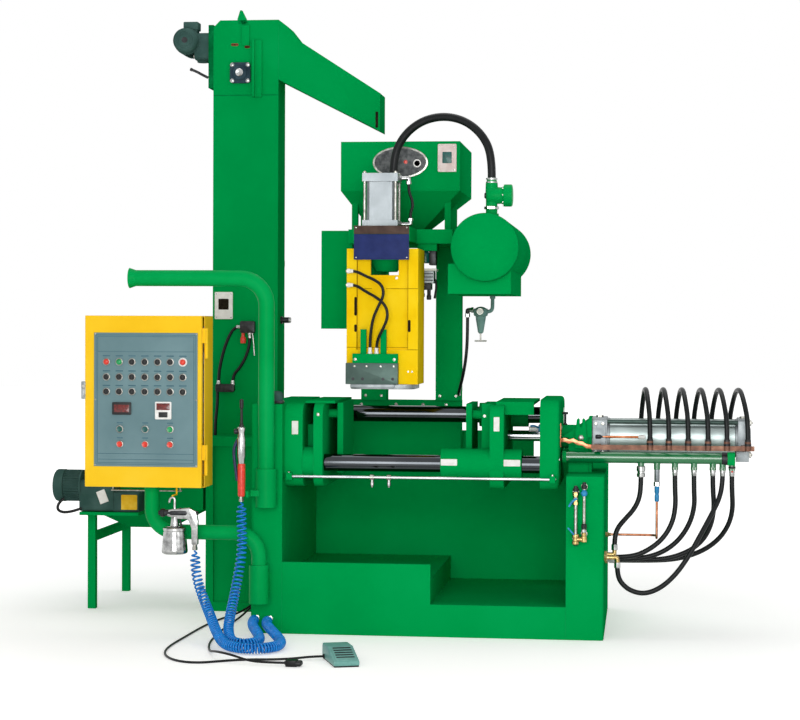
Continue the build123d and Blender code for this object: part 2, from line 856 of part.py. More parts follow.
def cylinder_mount():
    block = span(right_post_in, cyl_x - mount_flange_t, clamp_y - mount_half, clamp_y + mount_half,
                 right_post_h, clamp_z)
    neck = bar_x(right_end_out, cyl_x - mount_flange_t, clamp_y, clamp_z, neck_dia)
    flange = span(cyl_x - mount_flange_t, cyl_x, cyl_front, cyl_back, right_post_h, clamp_z + head_size / 2)
    gusset = panel_xz([(right_end_out, clamp_z), (cyl_x, clamp_z), (cyl_x, clamp_z + head_size / 2)],
                      clamp_y - mount_half, clamp_y - mount_half + mount_web)
    far_gusset = panel_xz([(right_end_out, clamp_z), (cyl_x, clamp_z), (cyl_x, clamp_z + head_size / 2)],
                          clamp_y + mount_half - mount_web, clamp_y + mount_half)
    bore = bar_x(right_end_out - overrun, cyl_x + overrun, clamp_y, clamp_z, neck_bore)
    return block + neck + flange + gusset + far_gusset - bore


def cylinder_heads():
    bore = bar_x(cyl_x - overrun, barrel_x + overrun, clamp_y, clamp_z, rod_dia + 2 * seat_gap)
    front = span(cyl_x, barrel_x, cyl_front, cyl_back, clamp_z - head_size / 2,
                 clamp_z + head_size / 2) - bore
    rear = span(cyl_tail_x, cyl_end, cyl_front, cyl_back, clamp_z - head_size / 2, clamp_z + head_size / 2)
    reach = head_size / 2 - tie_rod_inset
    heads = front + rear
    for sy in (-1, 1):
        for sz in (-1, 1):
            heads += bar_x(barrel_x, cyl_tail_x, clamp_y + sy * reach, clamp_z + sz * reach, tie_rod_dia)
    return heads


def cylinder_barrel():
    outer = bar_x(barrel_x, cyl_tail_x, clamp_y, clamp_z, barrel_dia)
    return outer - bar_x(barrel_x - overrun, cyl_tail_x + overrun, clamp_y, clamp_z,
                         barrel_dia - 2 * barrel_wall)


def front_manifold():
    front_tie = span(cyl_x + hanger_t / 2, cyl_x + 3 * hanger_t / 2, manifold_y, cyl_front,
                     manifold_z - hanger_t / 2, manifold_z + hanger_t / 2)
    tube = bar_x(manifold_x, manifold_x + manifold_len, manifold_y, manifold_z, manifold_dia)
    low = manifold_z - manifold_dia / 2
    body = tube + front_tie
    for x in drop_x + (long_drop_x,):
        body += bar_z(low - nipple_len, manifold_z, x, manifold_y, nipple_dia)
    return body


def rear_manifold():
    tie = span(cyl_x + hanger_t / 2, cyl_x + 3 * hanger_t / 2, cyl_back, rear_manifold_y,
               manifold_z - hanger_t / 2, manifold_z + hanger_t / 2)
    tube = bar_x(manifold_x, manifold_x + manifold_len, rear_manifold_y, manifold_z, manifold_dia)
    body = tube + tie
    for x in arch_rear_x:
        body += bar_z(manifold_z, arch_top_route[0][1], x, rear_manifold_y, nipple_dia)
    return body


def clamp_fittings():
    return pile([lug_plate(), tee_bolt(), copper_strap(), cylinder_gauge()])


def lug_plate():
    x0 = right_post_in + lug_plate_x
    x1 = x0 + lug_plate_w
    face = clamp_y - mount_half
    foot = manifold_z + manifold_dia / 2 + lug_plate_clear
    top = foot + lug_plate_h
    outline = [(x0, foot), (x1, foot), (x1 - lug_plate_taper, top), (x0 + lug_plate_taper, top)]
    return panel_xz(outline, face - lug_plate_t, face)


def tee_bolt():
    x = right_end_out + tee_bolt_x
    neck = bar_x(right_end_out, cyl_x, clamp_y, clamp_z, neck_dia)
    stem = bar_z(clamp_z, tee_bolt_z, x, clamp_y, tee_bolt_dia) - neck
    return stem + bar_x(x - tee_bolt_half, x + tee_bolt_half, clamp_y, tee_bolt_z, tee_bolt_dia)


def copper_strap():
    x0 = right_end_out + strip_t
    strip = span(right_end_out, x0, strip_setback, strip_setback + strip_w, strip_low, strip_low + strip_h)
    low = rail_z + rail_h - strap_h
    high = low + strap_rise
    outline = [(x0, high), (x0 + strap_flat, high), (cyl_x - strap_foot, low), (cyl_x, low),
               (cyl_x, low + strap_h),
               (cyl_x - strap_foot, low + strap_h), (x0 + strap_flat, high + strap_h), (x0, high + strap_h)]
    return strip + panel_xz(outline, rail_y, rail_y + rail_t)


def cylinder_gauge():
    x0 = cyl_x + gauge_start
    x1 = x0 + gauge_len
    front = cyl_front - gauge_proud
    low = clamp_z + gauge_rise - gauge_h / 2
    left = span(x0, x0 + gauge_foot, front, cyl_front, low, low + gauge_h)
    right = span(x1 - gauge_foot, x1, front, clamp_y, low, low + gauge_h)
    right -= bar_x(barrel_x, cyl_tail_x, clamp_y, clamp_z, barrel_dia)
    return left + right + bar_x(x0, x1, front + gauge_dia / 2, clamp_z + gauge_rise, gauge_dia)


def hose_rail():
    bar = span(cyl_x, cyl_end, rail_y, rail_y + rail_t, rail_z, rail_z + rail_h)
    for x in (cyl_x, cyl_tail_x):
        bar += span(x + hanger_t / 2, x + 3 * hanger_t / 2, rail_y, cyl_front, rail_z, rail_z + rail_h)
    for x in arch_front_x:
        bar += bar_z(rail_z, rail_z + rail_h + ferrule_len, x, rail_y + rail_t / 2, ferrule_dia)
    return bar


def side_elbow(y, z, x, turn):
    tail = bar_x(base_right, x, y, z, nipple_dia)
    ends = sorted((z - turn * nipple_dia / 2, z + turn * elbow_rise))
    return tail + bar_z(ends[0], ends[1], x, y, nipple_dia)


def base_fittings():
    side = [bar_x(base_right, base_right + side_fitting_len, y, z, nipple_dia)
            for y, z in zip(side_fitting_y, side_fitting_z)]
    side.append(side_elbow(up_elbow_y, up_elbow_z, up_elbow_x, 1))
    side.append(side_elbow(down_elbow_y, down_elbow_z, down_elbow_x, -1))
    ports = [bar_y(-coil_port_len, 0, x, z, coil_port_dia) for x, z in zip(coil_port_x, coil_port_z)]
    glands = [bar_x(base_left - gland_reach, base_left, route[0][1], route[0][2], gland_dia)
              for route in cable_routes]
    return pile(side + ports + glands + [copper_pipe()])


def copper_pipe():
    low = manifold_z - manifold_dia / 2 - nipple_len
    x = drop_x[1]
    points = [(x, manifold_y, low), (x, manifold_y, low - copper_drop), (x, copper_y, low - copper_drop),
              (base_right, copper_y, low - copper_drop)]
    path = FilletPolyline(*points, radius=copper_bend)
    return sweep(Plane(path @ 0, z_dir=path % 0) * Circle(copper_dia / 2), path=path)


# Upper frame


def column(x):
    return span(x, x + column_w, column_y, column_back, rear_h, beam_z)


def top_beam():
    outline = [(nose_left, beam_front), (nose_right, beam_front), (nose_right, beam_shoulder_y),
               (frame_right, beam_shoulder_y), (frame_right, column_back), (frame_left, column_back),
               (frame_left, beam_shoulder_y), (nose_left, beam_shoulder_y)]
    bore = bar_z(beam_z - overrun, beam_top + overrun, press_x, press_y, press_rod_dia + 2 * seat_gap)
    return panel_xy(outline, beam_z, beam_top) - bore


def side_box():
    return span(frame_left - side_box_w, frame_left, side_box_front, side_box_front + side_box_d,
                beam_top - side_box_h, beam_top)


def sign_plate():
    top = beam_top + sign_rise
    return span(sign_left, sign_left + sign_w, beam_front - sign_t, beam_front, top - sign_h, top)


def shoot_valves():
    pitch = valve_slice + valve_gap
    body = span(valve_left, valve_left + valve_w / 3, valve_front, valve_front + valve_d, beam_z - valve_h,
                beam_z)
    count = int(valve_h // pitch)
    for k in range(count):
        z = beam_z - valve_gap - k * pitch
        body += span(valve_left, valve_left + valve_w, valve_front + valve_gap,
                     valve_front + valve_d - valve_gap,
                     z - valve_slice, z)
    return body


def press_cylinder():
    foot = span(press_x - press_cap / 2, press_x + press_cap / 2, press_y - press_cap / 2,
                press_y + press_cap / 2,
                beam_top, beam_top + press_foot_t)
    tube_low = beam_top + press_foot_t
    tube_top = tube_low + press_tube_h
    tube = span(press_x - press_tube_w / 2, press_x + press_tube_w / 2, press_y - press_tube_w / 2,
                press_y + press_tube_w / 2, tube_low, tube_top)
    tube = fillet(tube.edges().filter_by(Axis.Z), press_tube_round)
    cap = span(press_x - press_cap / 2, press_x + press_cap / 2, press_y - press_cap / 2,
               press_y + press_cap / 2,
               tube_top, tube_top + press_cap_t)
    bore = bar_z(tube_low, tube_top, press_x, press_y, press_bore)
    rod_bore = bar_z(beam_top - overrun, tube_low + overrun, press_x, press_y, press_rod_dia + 2 * seat_gap)
    return foot + tube + cap - bore - rod_bore


def press_elbows():
    face = press_x + press_cap / 2
    foot_z = beam_top + press_foot_t / 2
    cap_z = beam_top + press_foot_t + press_tube_h + press_cap_t / 2
    upper = bar_x(face, upper_elbow_x, press_y, cap_z, elbow_dia) + bar_z(
        cap_z - elbow_tail, cap_z + elbow_dia / 2, upper_elbow_x, press_y, elbow_dia)
    lower = bar_x(face, lower_elbow_x, press_y, foot_z, elbow_dia) + bar_z(
        foot_z - elbow_dia / 2, foot_z + elbow_tail, lower_elbow_x, press_y, elbow_dia)
    return [upper, lower]


def blow_stub():
    return bar_z(beam_top, beam_top + blow_stub_h, blow_stub_x, blow_stub_y, blow_stub_dia)


# Shooting head


def head_frame():
    left = span(head_left, head_left + cheek_t, head_front, head_back, cheek_foot, head_top)
    right = span(head_right - cheek_t, head_right, head_front, head_back, cheek_foot, head_top)
    face_y = head_front + head_plate_set
    face = span(head_left + cheek_t, head_right - cheek_t, face_y, face_y + head_plate_t, cheek_foot,
                head_top)
    notch = span(notch_left, notch_right, face_y - overrun, face_y + head_plate_t + overrun, notch_z,
                 head_top - head_cap_t)
    cap = span(head_left, head_right, head_front, head_back, head_top - head_cap_t, head_top)
    block = span(head_left, head_right, head_front, head_back, block_foot, cheek_foot)
    frame = left + right + (face - notch) + cap + block
    for z in head_nipple_z:
        frame += head_nipple(z)
    return frame


def sand_funnel():
    top = head_top - head_cap_t
    return Pos(head_mid_x, press_y, top - funnel_h / 2) * Cone(funnel_foot_dia / 2, funnel_top_dia / 2,
                                                               funnel_h)


def head_nipple(z):
    x = head_left + head_nipple_dia / 2
    stem = bar_y(head_nipple_y, head_front, x, z, head_nipple_dia)
    return stem + bar_x(x, head_hose_routes[0][0][0], head_nipple_y, z, head_nipple_dia)


def blow_plates():
    block = span(head_left, blow_right, blow_face, head_front, block_foot, blow_top)
    plate = span(head_left + blow_inset, head_right - blow_inset, blow_face + blow_inset, head_back,
                 block_foot - blow_plate_t, block_foot)
    return block + plate


def clamp_bracket():
    lug = span(lug_left, lug_right, head_front - lug_d, head_front, blow_top, blow_top + lug_h)
    for x in clamp_bar_x:
        lug += span(x, x + bar_w, head_front - bar_d, head_front, blow_top, blow_top + bar_h)
    return lug


def press_rod():
    return bar_z(head_top, head_top + press_rod_len, press_x, press_y, press_rod_dia)


# Hopper and tank


def hopper_shell(inset):
    rim = Pos((hopper_left + hopper_right) / 2, (hopper_front + hopper_back) / 2, hopper_knee) * Rectangle(
        hopper_right - hopper_left - 2 * inset, hopper_back - hopper_front - 2 * inset)
    neck = Pos((neck_left + neck_right) / 2, (neck_front + neck_back) / 2, beam_top) * Rectangle(
        neck_right - neck_left - 2 * inset, neck_back - neck_front - 2 * inset)
    taper = loft([neck, rim])
    top = hopper_top + (overrun if inset else 0)
    return taper + extrude(rim, amount=top - hopper_knee)


def sand_hopper():
    shell = hopper_shell(0) - hopper_shell(hopper_wall)
    outer = hopper_shell(0)
    for x in (hopper_left + hopper_post_inset, hopper_right - hopper_post_inset - hopper_post):
        for y in (hopper_front + hopper_post_inset, column_back - hopper_post_inset - hopper_post):
            post = span(x, x + hopper_post, y, y + hopper_post, beam_top, hopper_knee)
            shell += post - outer
    return shell


def sight_glass():
    rim = Plane((glass_x, hopper_front, glass_z), x_dir=(1, 0, 0), z_dir=(0, -1, 0)) * Ellipse(
        glass_w / 2, glass_h / 2)
    return extrude(rim, amount=glass_t)


def hopper_switch():
    return span(switch_left, switch_left + switch_w, hopper_front - switch_t, hopper_front, switch_z,
                switch_z + switch_h)


def tank_shell():
    outer = bar_y(tank_front, tank_front + tank_len, tank_x, tank_z, tank_dia)
    inner = bar_y(tank_front - overrun, tank_front + tank_len + overrun, tank_x, tank_z,
                  tank_dia - 2 * tank_wall)
    return outer - inner


def tank_dish():
    crown = (tank_dia ** 2 / 4 + dish_depth ** 2) / (2 * dish_depth)
    centre = Pos(0, 0, dish_depth - crown)
    shell = centre * Sphere(crown) - centre * Sphere(crown - tank_wall)
    return shell & span(-tank_dia, tank_dia, -tank_dia, tank_dia, 0, tank_dia)


def front_tank_end():
    return Pos(tank_x, tank_front, tank_z) * Rot(90, 0, 0) * tank_dish()


def rear_tank_end():
    return Pos(tank_x, tank_front + tank_len, tank_z) * Rot(-90, 0, 0) * tank_dish()


def tank_saddle():
    block = span(frame_right, saddle_right, saddle_front, column_back, saddle_low, saddle_top)
    hollow = span(frame_right + saddle_web, saddle_right - saddle_web, saddle_front + saddle_web,
                  column_back - saddle_web, saddle_low + saddle_web, saddle_top + overrun)
    seat = bar_y(saddle_front - overrun, column_back + overrun, tank_x, tank_z, tank_dia)
    return block - hollow - seat


def tank_valve():
    low = tank_z + tank_dia / 2
    mid_z = low + valve_rise
    x0 = tank_valve_x - valve_back
    x1 = x0 + valve_body_len
    stem = bar_z(tank_z + tank_dia / 3, mid_z, tank_valve_x, tank_valve_y, spigot_dia)
    body = bar_x(x0, x1, tank_valve_y, mid_z, valve_body_dia)
    cap = bar_x(x1 - valve_cap_len, x1, tank_valve_y, mid_z, valve_cap_dia)
    nose = bar_z(mid_z, mid_z + valve_nose_h, tank_valve_x, tank_valve_y, spigot_dia)
    tank = bar_y(tank_front, tank_front + tank_len, tank_x, tank_z, tank_dia)
    return stem + body + cap + nose - tank


def regulator():
    top = saddle_low - regulator_stem_h
    stem = bar_z(top, saddle_low, regulator_x, regulator_y, regulator_stem)
    body = span(regulator_x - regulator_body / 2, regulator_x + regulator_body / 2,
                regulator_y - regulator_body / 2, regulator_y + regulator_body / 2,
                top - regulator_body_h, top)
    bowl = bar_z(top - regulator_body_h - regulator_bowl_h, top - regulator_body_h, regulator_x, regulator_y,
                 regulator_bowl)
    port_z = top - regulator_body_h / 4
    port = bar_x(port_x, regulator_x, regulator_y, port_z, regulator_port)
    elbow = bar_z(port_z - port_tail, port_z + regulator_port / 2, port_x, regulator_y, regulator_port)
    return stem + body + bowl + port + elbow


# Elevator


def elevator_casing():
    outline = [(casing_left, 0), (casing_right, 0), (casing_right, casing_top),
               (casing_left + casing_chamfer, casing_top), (casing_left, casing_top - casing_chamfer)]
    return panel_xz(outline, casing_front, casing_back) + elevator_boot()


def elevator_chute():
    outline = [(casing_right, chute_root_low), (chute_end_x, chute_low),
               (chute_end_x, chute_low + chute_end_h),
               (casing_right + chute_hip, casing_top - chute_hip_drop),
               (casing_right + chute_knee, casing_top - chute_knee_drop), (casing_right, casing_top)]
    wall = chute_wall
    bore = [(casing_right + wall, chute_root_low + wall), (chute_end_x - chute_mouth,
                                                           chute_low + chute_mouth / 2),
            (chute_end_x - chute_mouth, chute_low - overrun), (chute_end_x - wall, chute_low - overrun),
            (chute_end_x - wall, chute_low + chute_end_h - wall),
            (casing_right + chute_hip - wall, casing_top - chute_hip_drop - wall),
            (casing_right + wall, casing_top - chute_knee_drop - wall)]
    return panel_xz(outline, casing_front, casing_back) - panel_xz(bore, casing_front + wall,
                                                                   casing_back - wall)


def elevator_boot():
    boot = span(boot_left, boot_right, boot_front, casing_front, 0, boot_top)
    face = span(boot_left + boot_post, boot_right - boot_post, boot_front - overrun, boot_front + tray_t,
                boot_rail, boot_top - boot_rail)
    return boot - face


def lifting_lug():
    outline = [(lug_x - lug_half, casing_top), (lug_x + lug_half, casing_top), (lug_x, casing_top + lug_rise)]
    return panel_xz(outline, casing_front, casing_front + lug_t)


def head_bearing():
    flange = span(bearing_x - bearing_w / 2, bearing_x + bearing_w / 2, casing_front - bearing_t,
                  casing_front,
                  bearing_z - bearing_w / 2, bearing_z + bearing_w / 2)
    flange = fillet(flange.edges().filter_by(Axis.Y), bearing_t / 2)
    return flange + bar_y(casing_front - bearing_t - bearing_nose, casing_front, bearing_x, bearing_z,
                          bearing_dia)


def takeup_bar():
    return span(takeup_x, takeup_x + takeup_w, casing_front - takeup_t, casing_front, takeup_low,
                takeup_low + takeup_h)


def motor_plate():
    return span(casing_left - motor_plate_t, casing_left, casing_front, casing_back, motor_plate_low,
                motor_plate_low + motor_plate_h)


def elevator_motor():
    plate_x = casing_left - motor_plate_t
    box = span(plate_x - gearbox_w, plate_x, casing_front, casing_back, gearbox_z, gearbox_z + gearbox_h)
    body = bar_y(motor_front + motor_cowl_len, motor_front + motor_len, motor_x, motor_z, motor_dia)
    cowl = bar_y(motor_front, motor_front + motor_cowl_len, motor_x, motor_z, motor_cowl)
    link = span(motor_x, plate_x - gearbox_w, casing_front + motor_cowl_len, motor_front + motor_len,
                motor_z - motor_dia / 3, motor_z + motor_dia / 4)
    return motor_plate() + box + body + cowl + link


def elevator_fittings():
    return pile([lifting_lug(), head_bearing(), takeup_bar(), elevator_switch(), elevator_stay(),
                 casing_stub(),
                 valve_tee(), valve_wye()])


def elevator_switch():
    return span(station_left, station_left + station_w, casing_front - station_t, casing_front, station_z,
                station_z + station_h)


def elevator_stay():
    return bar_x(casing_right, base_left, stay_y, stay_z, stay_dia)


def casing_stub():
    return bar_x(casing_right, casing_right + stub_len, stay_y, stub_z, stub_dia)


def valve_tee():
    body = span(tee_left, tee_left + tee_w, casing_front - tee_d - stub_dia / 2, casing_front, tee_low,
                tee_low + tee_h)
    return body + bar_z(tee_low - knob_h, tee_low, knob_x, casing_front - valve_hose_setback, knob_dia)


def valve_wye():
    return span(wye_left, wye_left + wye_w, casing_front - wye_d - stub_dia / 2, casing_front, wye_low,
                wye_low + wye_h)


# Feeder


def feeder_shell(inset):
    right = casing_left
    rim = Pos((feeder_left + right) / 2, (feeder_front + feeder_back) / 2, feeder_knee) * Rectangle(
        right - feeder_left - 2 * inset, feeder_back - feeder_front - 2 * inset)
    foot = Pos((feeder_out_left + feeder_out_right) / 2, (feeder_out_front + feeder_out_back) / 2,
               feeder_foot + inset) * Rectangle(feeder_out_right - feeder_out_left - 2 * inset,
                                                feeder_out_back - feeder_out_front - 2 * inset)
    top = feeder_top + (overrun if inset else 0)
    return loft([foot, rim]) + extrude(rim, amount=top - feeder_knee)


def feeder_hopper():
    return feeder_shell(0) + feeder_legs() - feeder_shell(feeder_wall)


def feeder_legs():
    x1 = feeder_left + leg_w
    front = span(feeder_left, x1, feeder_front, feeder_front + leg_w, 0, feeder_knee)
    rear = span(feeder_left, x1, feeder_back - leg_w, feeder_back, 0, feeder_knee)
    brace = span(feeder_left, x1, feeder_front + leg_w, feeder_back - leg_w, brace_z - leg_w, brace_z)
    return front + rear + brace


def feeder_drive():
    x1 = drive_x + drive_len
    x2 = x1 + drive_box_len
    cowl = bar_x(drive_x, x1, drive_y, drive_z, drive_dia)
    box = span(x1, x2, drive_y - drive_box_w / 2, drive_y + drive_box_w / 2, drive_z - drive_box_h,
               drive_z + drive_box_h / 4)
    gear = span(x2, x2 + drive_gear_len, drive_y - drive_box_w / 2, drive_y + drive_box_w / 2, drive_gear_low,
                drive_gear_low + drive_gear_h)
    return cowl + box + gear + drive_shelf()


def drive_shelf():
    low = drive_z - drive_box_h
    start = drive_x + drive_len
    return span(start, start + drive_box_len + drive_gear_len, drive_y - drive_box_w / 2, feeder_front,
                low - drive_shelf_t, low)


# Control box and boom


def control_box():
    shell = span(box_left, box_right, box_front, box_back, box_low, box_top)
    hollow = span(box_left + box_wall, box_right - box_wall, box_front - overrun, box_back - box_wall,
                  box_low + box_wall, box_top - box_wall)
    hinge_x = box_right + hinge_dia / 2
    hinge_y = box_front - run_gap
    for share in hinge_shares:
        z = box_low + share * box_h
        shell += bar_z(z - hinge_len, z - seat_gap, hinge_x, hinge_y, hinge_dia)
        shell += span(box_right, hinge_x, hinge_y, box_front + hinge_len / 2, z - hinge_len, z - seat_gap)
    return shell - hollow + gun_hanger()


def box_door():
    back = box_front - run_gap
    skin = span(box_left, box_right - hinge_dia / 2, door_front, back, box_low, box_top)
    hinge_x = box_right + hinge_dia / 2
    for share in hinge_shares:
        z = box_low + share * box_h
        skin += bar_z(z + seat_gap, z + hinge_len, hinge_x, back, hinge_dia)
        skin += span(box_right - hinge_dia, hinge_x, back - door_t / 2, back, z + seat_gap, z + hinge_len)
    latch_z = box_low + latch_share * box_h
    return skin + span(box_left - latch_t, box_left, door_front, back, latch_z - latch_h / 2,
                       latch_z + latch_h / 2)


def door_panel():
    front = door_front - panel_t
    mid_x = panel_left + panel_w / 2
    panel = span(panel_left, panel_left + panel_w, front, door_front, panel_low, panel_low + panel_h)
    for z in button_row_z:
        for k in range(button_cols):
            x = mid_x + (k - (button_cols - 1) / 2) * button_pitch
            panel += bar_y(front - button_h, front, x, z, button_dia)
    for z in lamp_row_z:
        for share in lamp_col_shares:
            panel += bar_y(front - button_h, front, panel_left + share * panel_w, z, button_dia)
    for share in display_shares:
        x = panel_left + share * panel_w
        panel += span(x - display_w / 2, x + display_w / 2, front - display_t, front, display_z,
                      display_z + display_h)
    return panel


def arm_pipe():
    points = [(arm_x, arm_y, box_low), (arm_x, arm_y, arm_z), (arm_socket_x, arm_y, arm_z),
              (arm_socket_x, arm_y, arm_socket_low + socket_floor)]
    path = FilletPolyline(*points, radius=arm_bend)
    return sweep(Plane(path @ 0, z_dir=path % 0) * Circle(arm_dia / 2), path=path)


def socket(x, y, low, height, dia, bore):
    tube = bar_z(low, low + height, x, y, dia)
    bracket = span(x - bracket_w / 2, x + bracket_w / 2, y, 0, low + (height - bracket_h) / 2,
                   low + (height + bracket_h) / 2)
    return tube + bracket - bar_z(low + socket_floor, low + height + overrun, x, y, bore + 2 * seat_gap)


def arm_socket():
    return socket(arm_socket_x, arm_y, arm_socket_low, arm_socket_h, arm_socket_dia, arm_dia)


def boom_socket():
    return socket(boom_x, boom_y, boom_socket_low, boom_socket_h, boom_socket_dia, boom_dia) + gun_hook()


def boom_pipe():
    points = [(boom_x, boom_y, boom_socket_low + socket_floor + seat_gap), (boom_x, boom_y, boom_z),
              (boom_end_x, boom_y, boom_z)]
    path = FilletPolyline(*points, radius=boom_bend)
    pipe = sweep(Plane(path @ 0, z_dir=path % 0) * Circle(boom_dia / 2), path=path)
    flare = Pos(boom_end_x, boom_y, boom_z) * Rot(0, -90, 0) * Pos(0, 0, boom_flare_len / 2) * Cone(
        boom_dia / 2, boom_flare_dia / 2, boom_flare_len)
    return pipe + flare


# Guns and small fittings


def gun_hanger():
    rod = bar_z(box_low - hanger_drop, box_low, hanger_x, gun_y + box_d / 2, hanger_dia)
    hook = bar_y(gun_y, gun_y + box_d / 2 + hanger_dia / 2, hanger_x, box_low - hanger_drop, hanger_dia)
    return rod + hook


def spray_gun():
    cup = bar_z(cup_low, cup_low + cup_h, gun_x, gun_y, cup_dia)
    cup = fillet(cup.edges(), cup_dia / 8)
    neck = bar_z(cup_low + cup_h, cup_low + cup_h + cup_neck, gun_x, gun_y, cup_neck)
    body_z = cup_low + cup_h + cup_neck
    body = span(gun_x - gun_body_len / 2, gun_x + gun_body_len / 2, gun_y - gun_body_w / 2,
                gun_y + gun_body_w / 2,
                body_z, body_z + gun_body_h)
    loop_top = box_low - hanger_drop - hanger_dia / 2 - seat_gap
    loop = span(gun_x - gun_grip_w / 2, gun_x + gun_grip_w / 2, gun_y - gun_body_w / 4,
                gun_y + gun_body_w / 4,
                body_z + gun_body_h, loop_top)
    grip = span(gun_x + gun_body_len / 2 - gun_grip_w, gun_x + gun_body_len / 2, gun_y - gun_body_w / 2,
                gun_y + gun_body_w / 2, coil_routes[0][0][2], body_z)
    return cup + neck + body + loop + grip


def air_gun():
    grip = bar_z(airgun_low, airgun_low + airgun_h, airgun_x, airgun_y, airgun_dia)
    nose = bar_z(airgun_low + airgun_h, airgun_low + airgun_h + airgun_nose_h, airgun_x, airgun_y,
                 airgun_nose_dia)
    return grip + nose


def gun_hook():
    reach_y = boom_y - boom_socket_dia / 2
    bar = span(airgun_x + airgun_dia / 2, boom_x - boom_socket_dia / 4, reach_y, boom_y, hook_z,
               hook_z + hook_h)
    plate = span(airgun_x + airgun_dia / 2, airgun_x + airgun_dia / 2 + hook_t, airgun_y, boom_y, hook_z,
                 hook_z + hook_h)
    socket_tube = bar_z(boom_socket_low, boom_socket_low + boom_socket_h, boom_x, boom_y, boom_socket_dia)
    return bar + plate - socket_tube


def air_cocks():
    solids = []
    for x, z in zip(cock_x, cock_z):
        pipe = bar_z(z, z + cock_h, x, -cock_y, cock_dia)
        body_z = z + cock_body_share * cock_h
        body = span(x - cock_dia / 2, x + cock_dia / 2, -cock_y - cock_body / 2, -cock_y + cock_body / 2,
                    body_z,
                    body_z + cock_body_h)
        foot = bar_y(-cock_y, 0, x, z + cock_foot, cock_dia)
        head = bar_y(-cock_y, 0, x, z + cock_h - cock_foot, cock_dia)
        solids.append(pipe + body + foot + head)
    return solids


def limit_rod():
    left = left_post_in + limit_clamp_w
    right = right_end_out - limit_clamp_w
    rod = bar_x(left - limit_over, right + limit_over, limit_y, limit_z, limit_dia)
    for x in (left, right):
        rod += span(x - limit_clamp_w / 2, x + limit_clamp_w / 2, limit_y - limit_dia, plate_front,
                    limit_z - limit_clamp_h / 2, limit_z + limit_clamp_h / 2)
    for x in limit_switch_x:
        rod += span(x - limit_switch_w / 2, x + limit_switch_w / 2, limit_y - limit_dia, limit_y + limit_dia,
                    limit_z - limit_switch_h, limit_z + limit_dia)
    return rod


def post_fittings():
    solenoid = span(solenoid_x, solenoid_x + solenoid_w, solenoid_y, solenoid_y + solenoid_d, left_post_h,
                    left_post_h + solenoid_h)
    return pile(air_cocks() + [limit_rod(), solenoid])


def foot_pedal():
    outline = [(-pedal_len / 2, 0), (pedal_len / 2, 0), (pedal_len / 2, pedal_h), (0, pedal_h),
               (-pedal_len / 2, pedal_toe)]
    wedge = panel_yz(outline, -pedal_w / 2, pedal_w / 2)
    return Pos(pedal_x, pedal_y, 0) * Rot(0, 0, pedal_turn) * wedge


def cable_plug():
    x0 = plug_x - plug_len / 2
    return span(x0, x0 + plug_len, plug_y - plug_w / 2, plug_y + plug_w / 2, 0, plug_h)


# Hoses and cables


def laid(start, steps):
    return [tuple(a + b for a, b in zip(start, step)) for step in steps]


def blow_hose():
    top = tank_z + tank_dia / 2 + valve_rise + valve_nose_h
    return hose(laid((tank_valve_x, tank_valve_y, top), blow_hose_steps), blow_hose_dia)


def press_hose():
    top = beam_top + press_foot_t + press_tube_h + press_cap_t / 2 - elbow_tail
    return hose(laid((upper_elbow_x, press_y, top), press_hose_steps), press_hose_dia)


def regulator_hose():
    top = saddle_low - regulator_stem_h - regulator_body_h / 4 - port_tail
    return hose(laid((port_x, regulator_y, top), regulator_hose_steps), regulator_hose_dia)


def arch_hoses():
    count = len(arch_top_route) - 1
    solids = []
    for rear_x, front_x in zip(arch_rear_x, arch_front_x):
        route = [(rear_x + (front_x - rear_x) * max(0, min(1, (k - 1) / (count - 2))), y, z)
                 for k, (y, z) in enumerate(arch_top_route)]
        solids.append(hose(route, arch_hose_dia))
    return solids


def drop_hoses():
    return [hose(laid((base_right, 0, 0), route), drop_hose_dia) for route in drop_hose_routes]


def valve_hoses():
    y = casing_front - valve_hose_setback
    return [hose(laid((0, y, 0), route), valve_hose_dia) for route in valve_hose_routes]


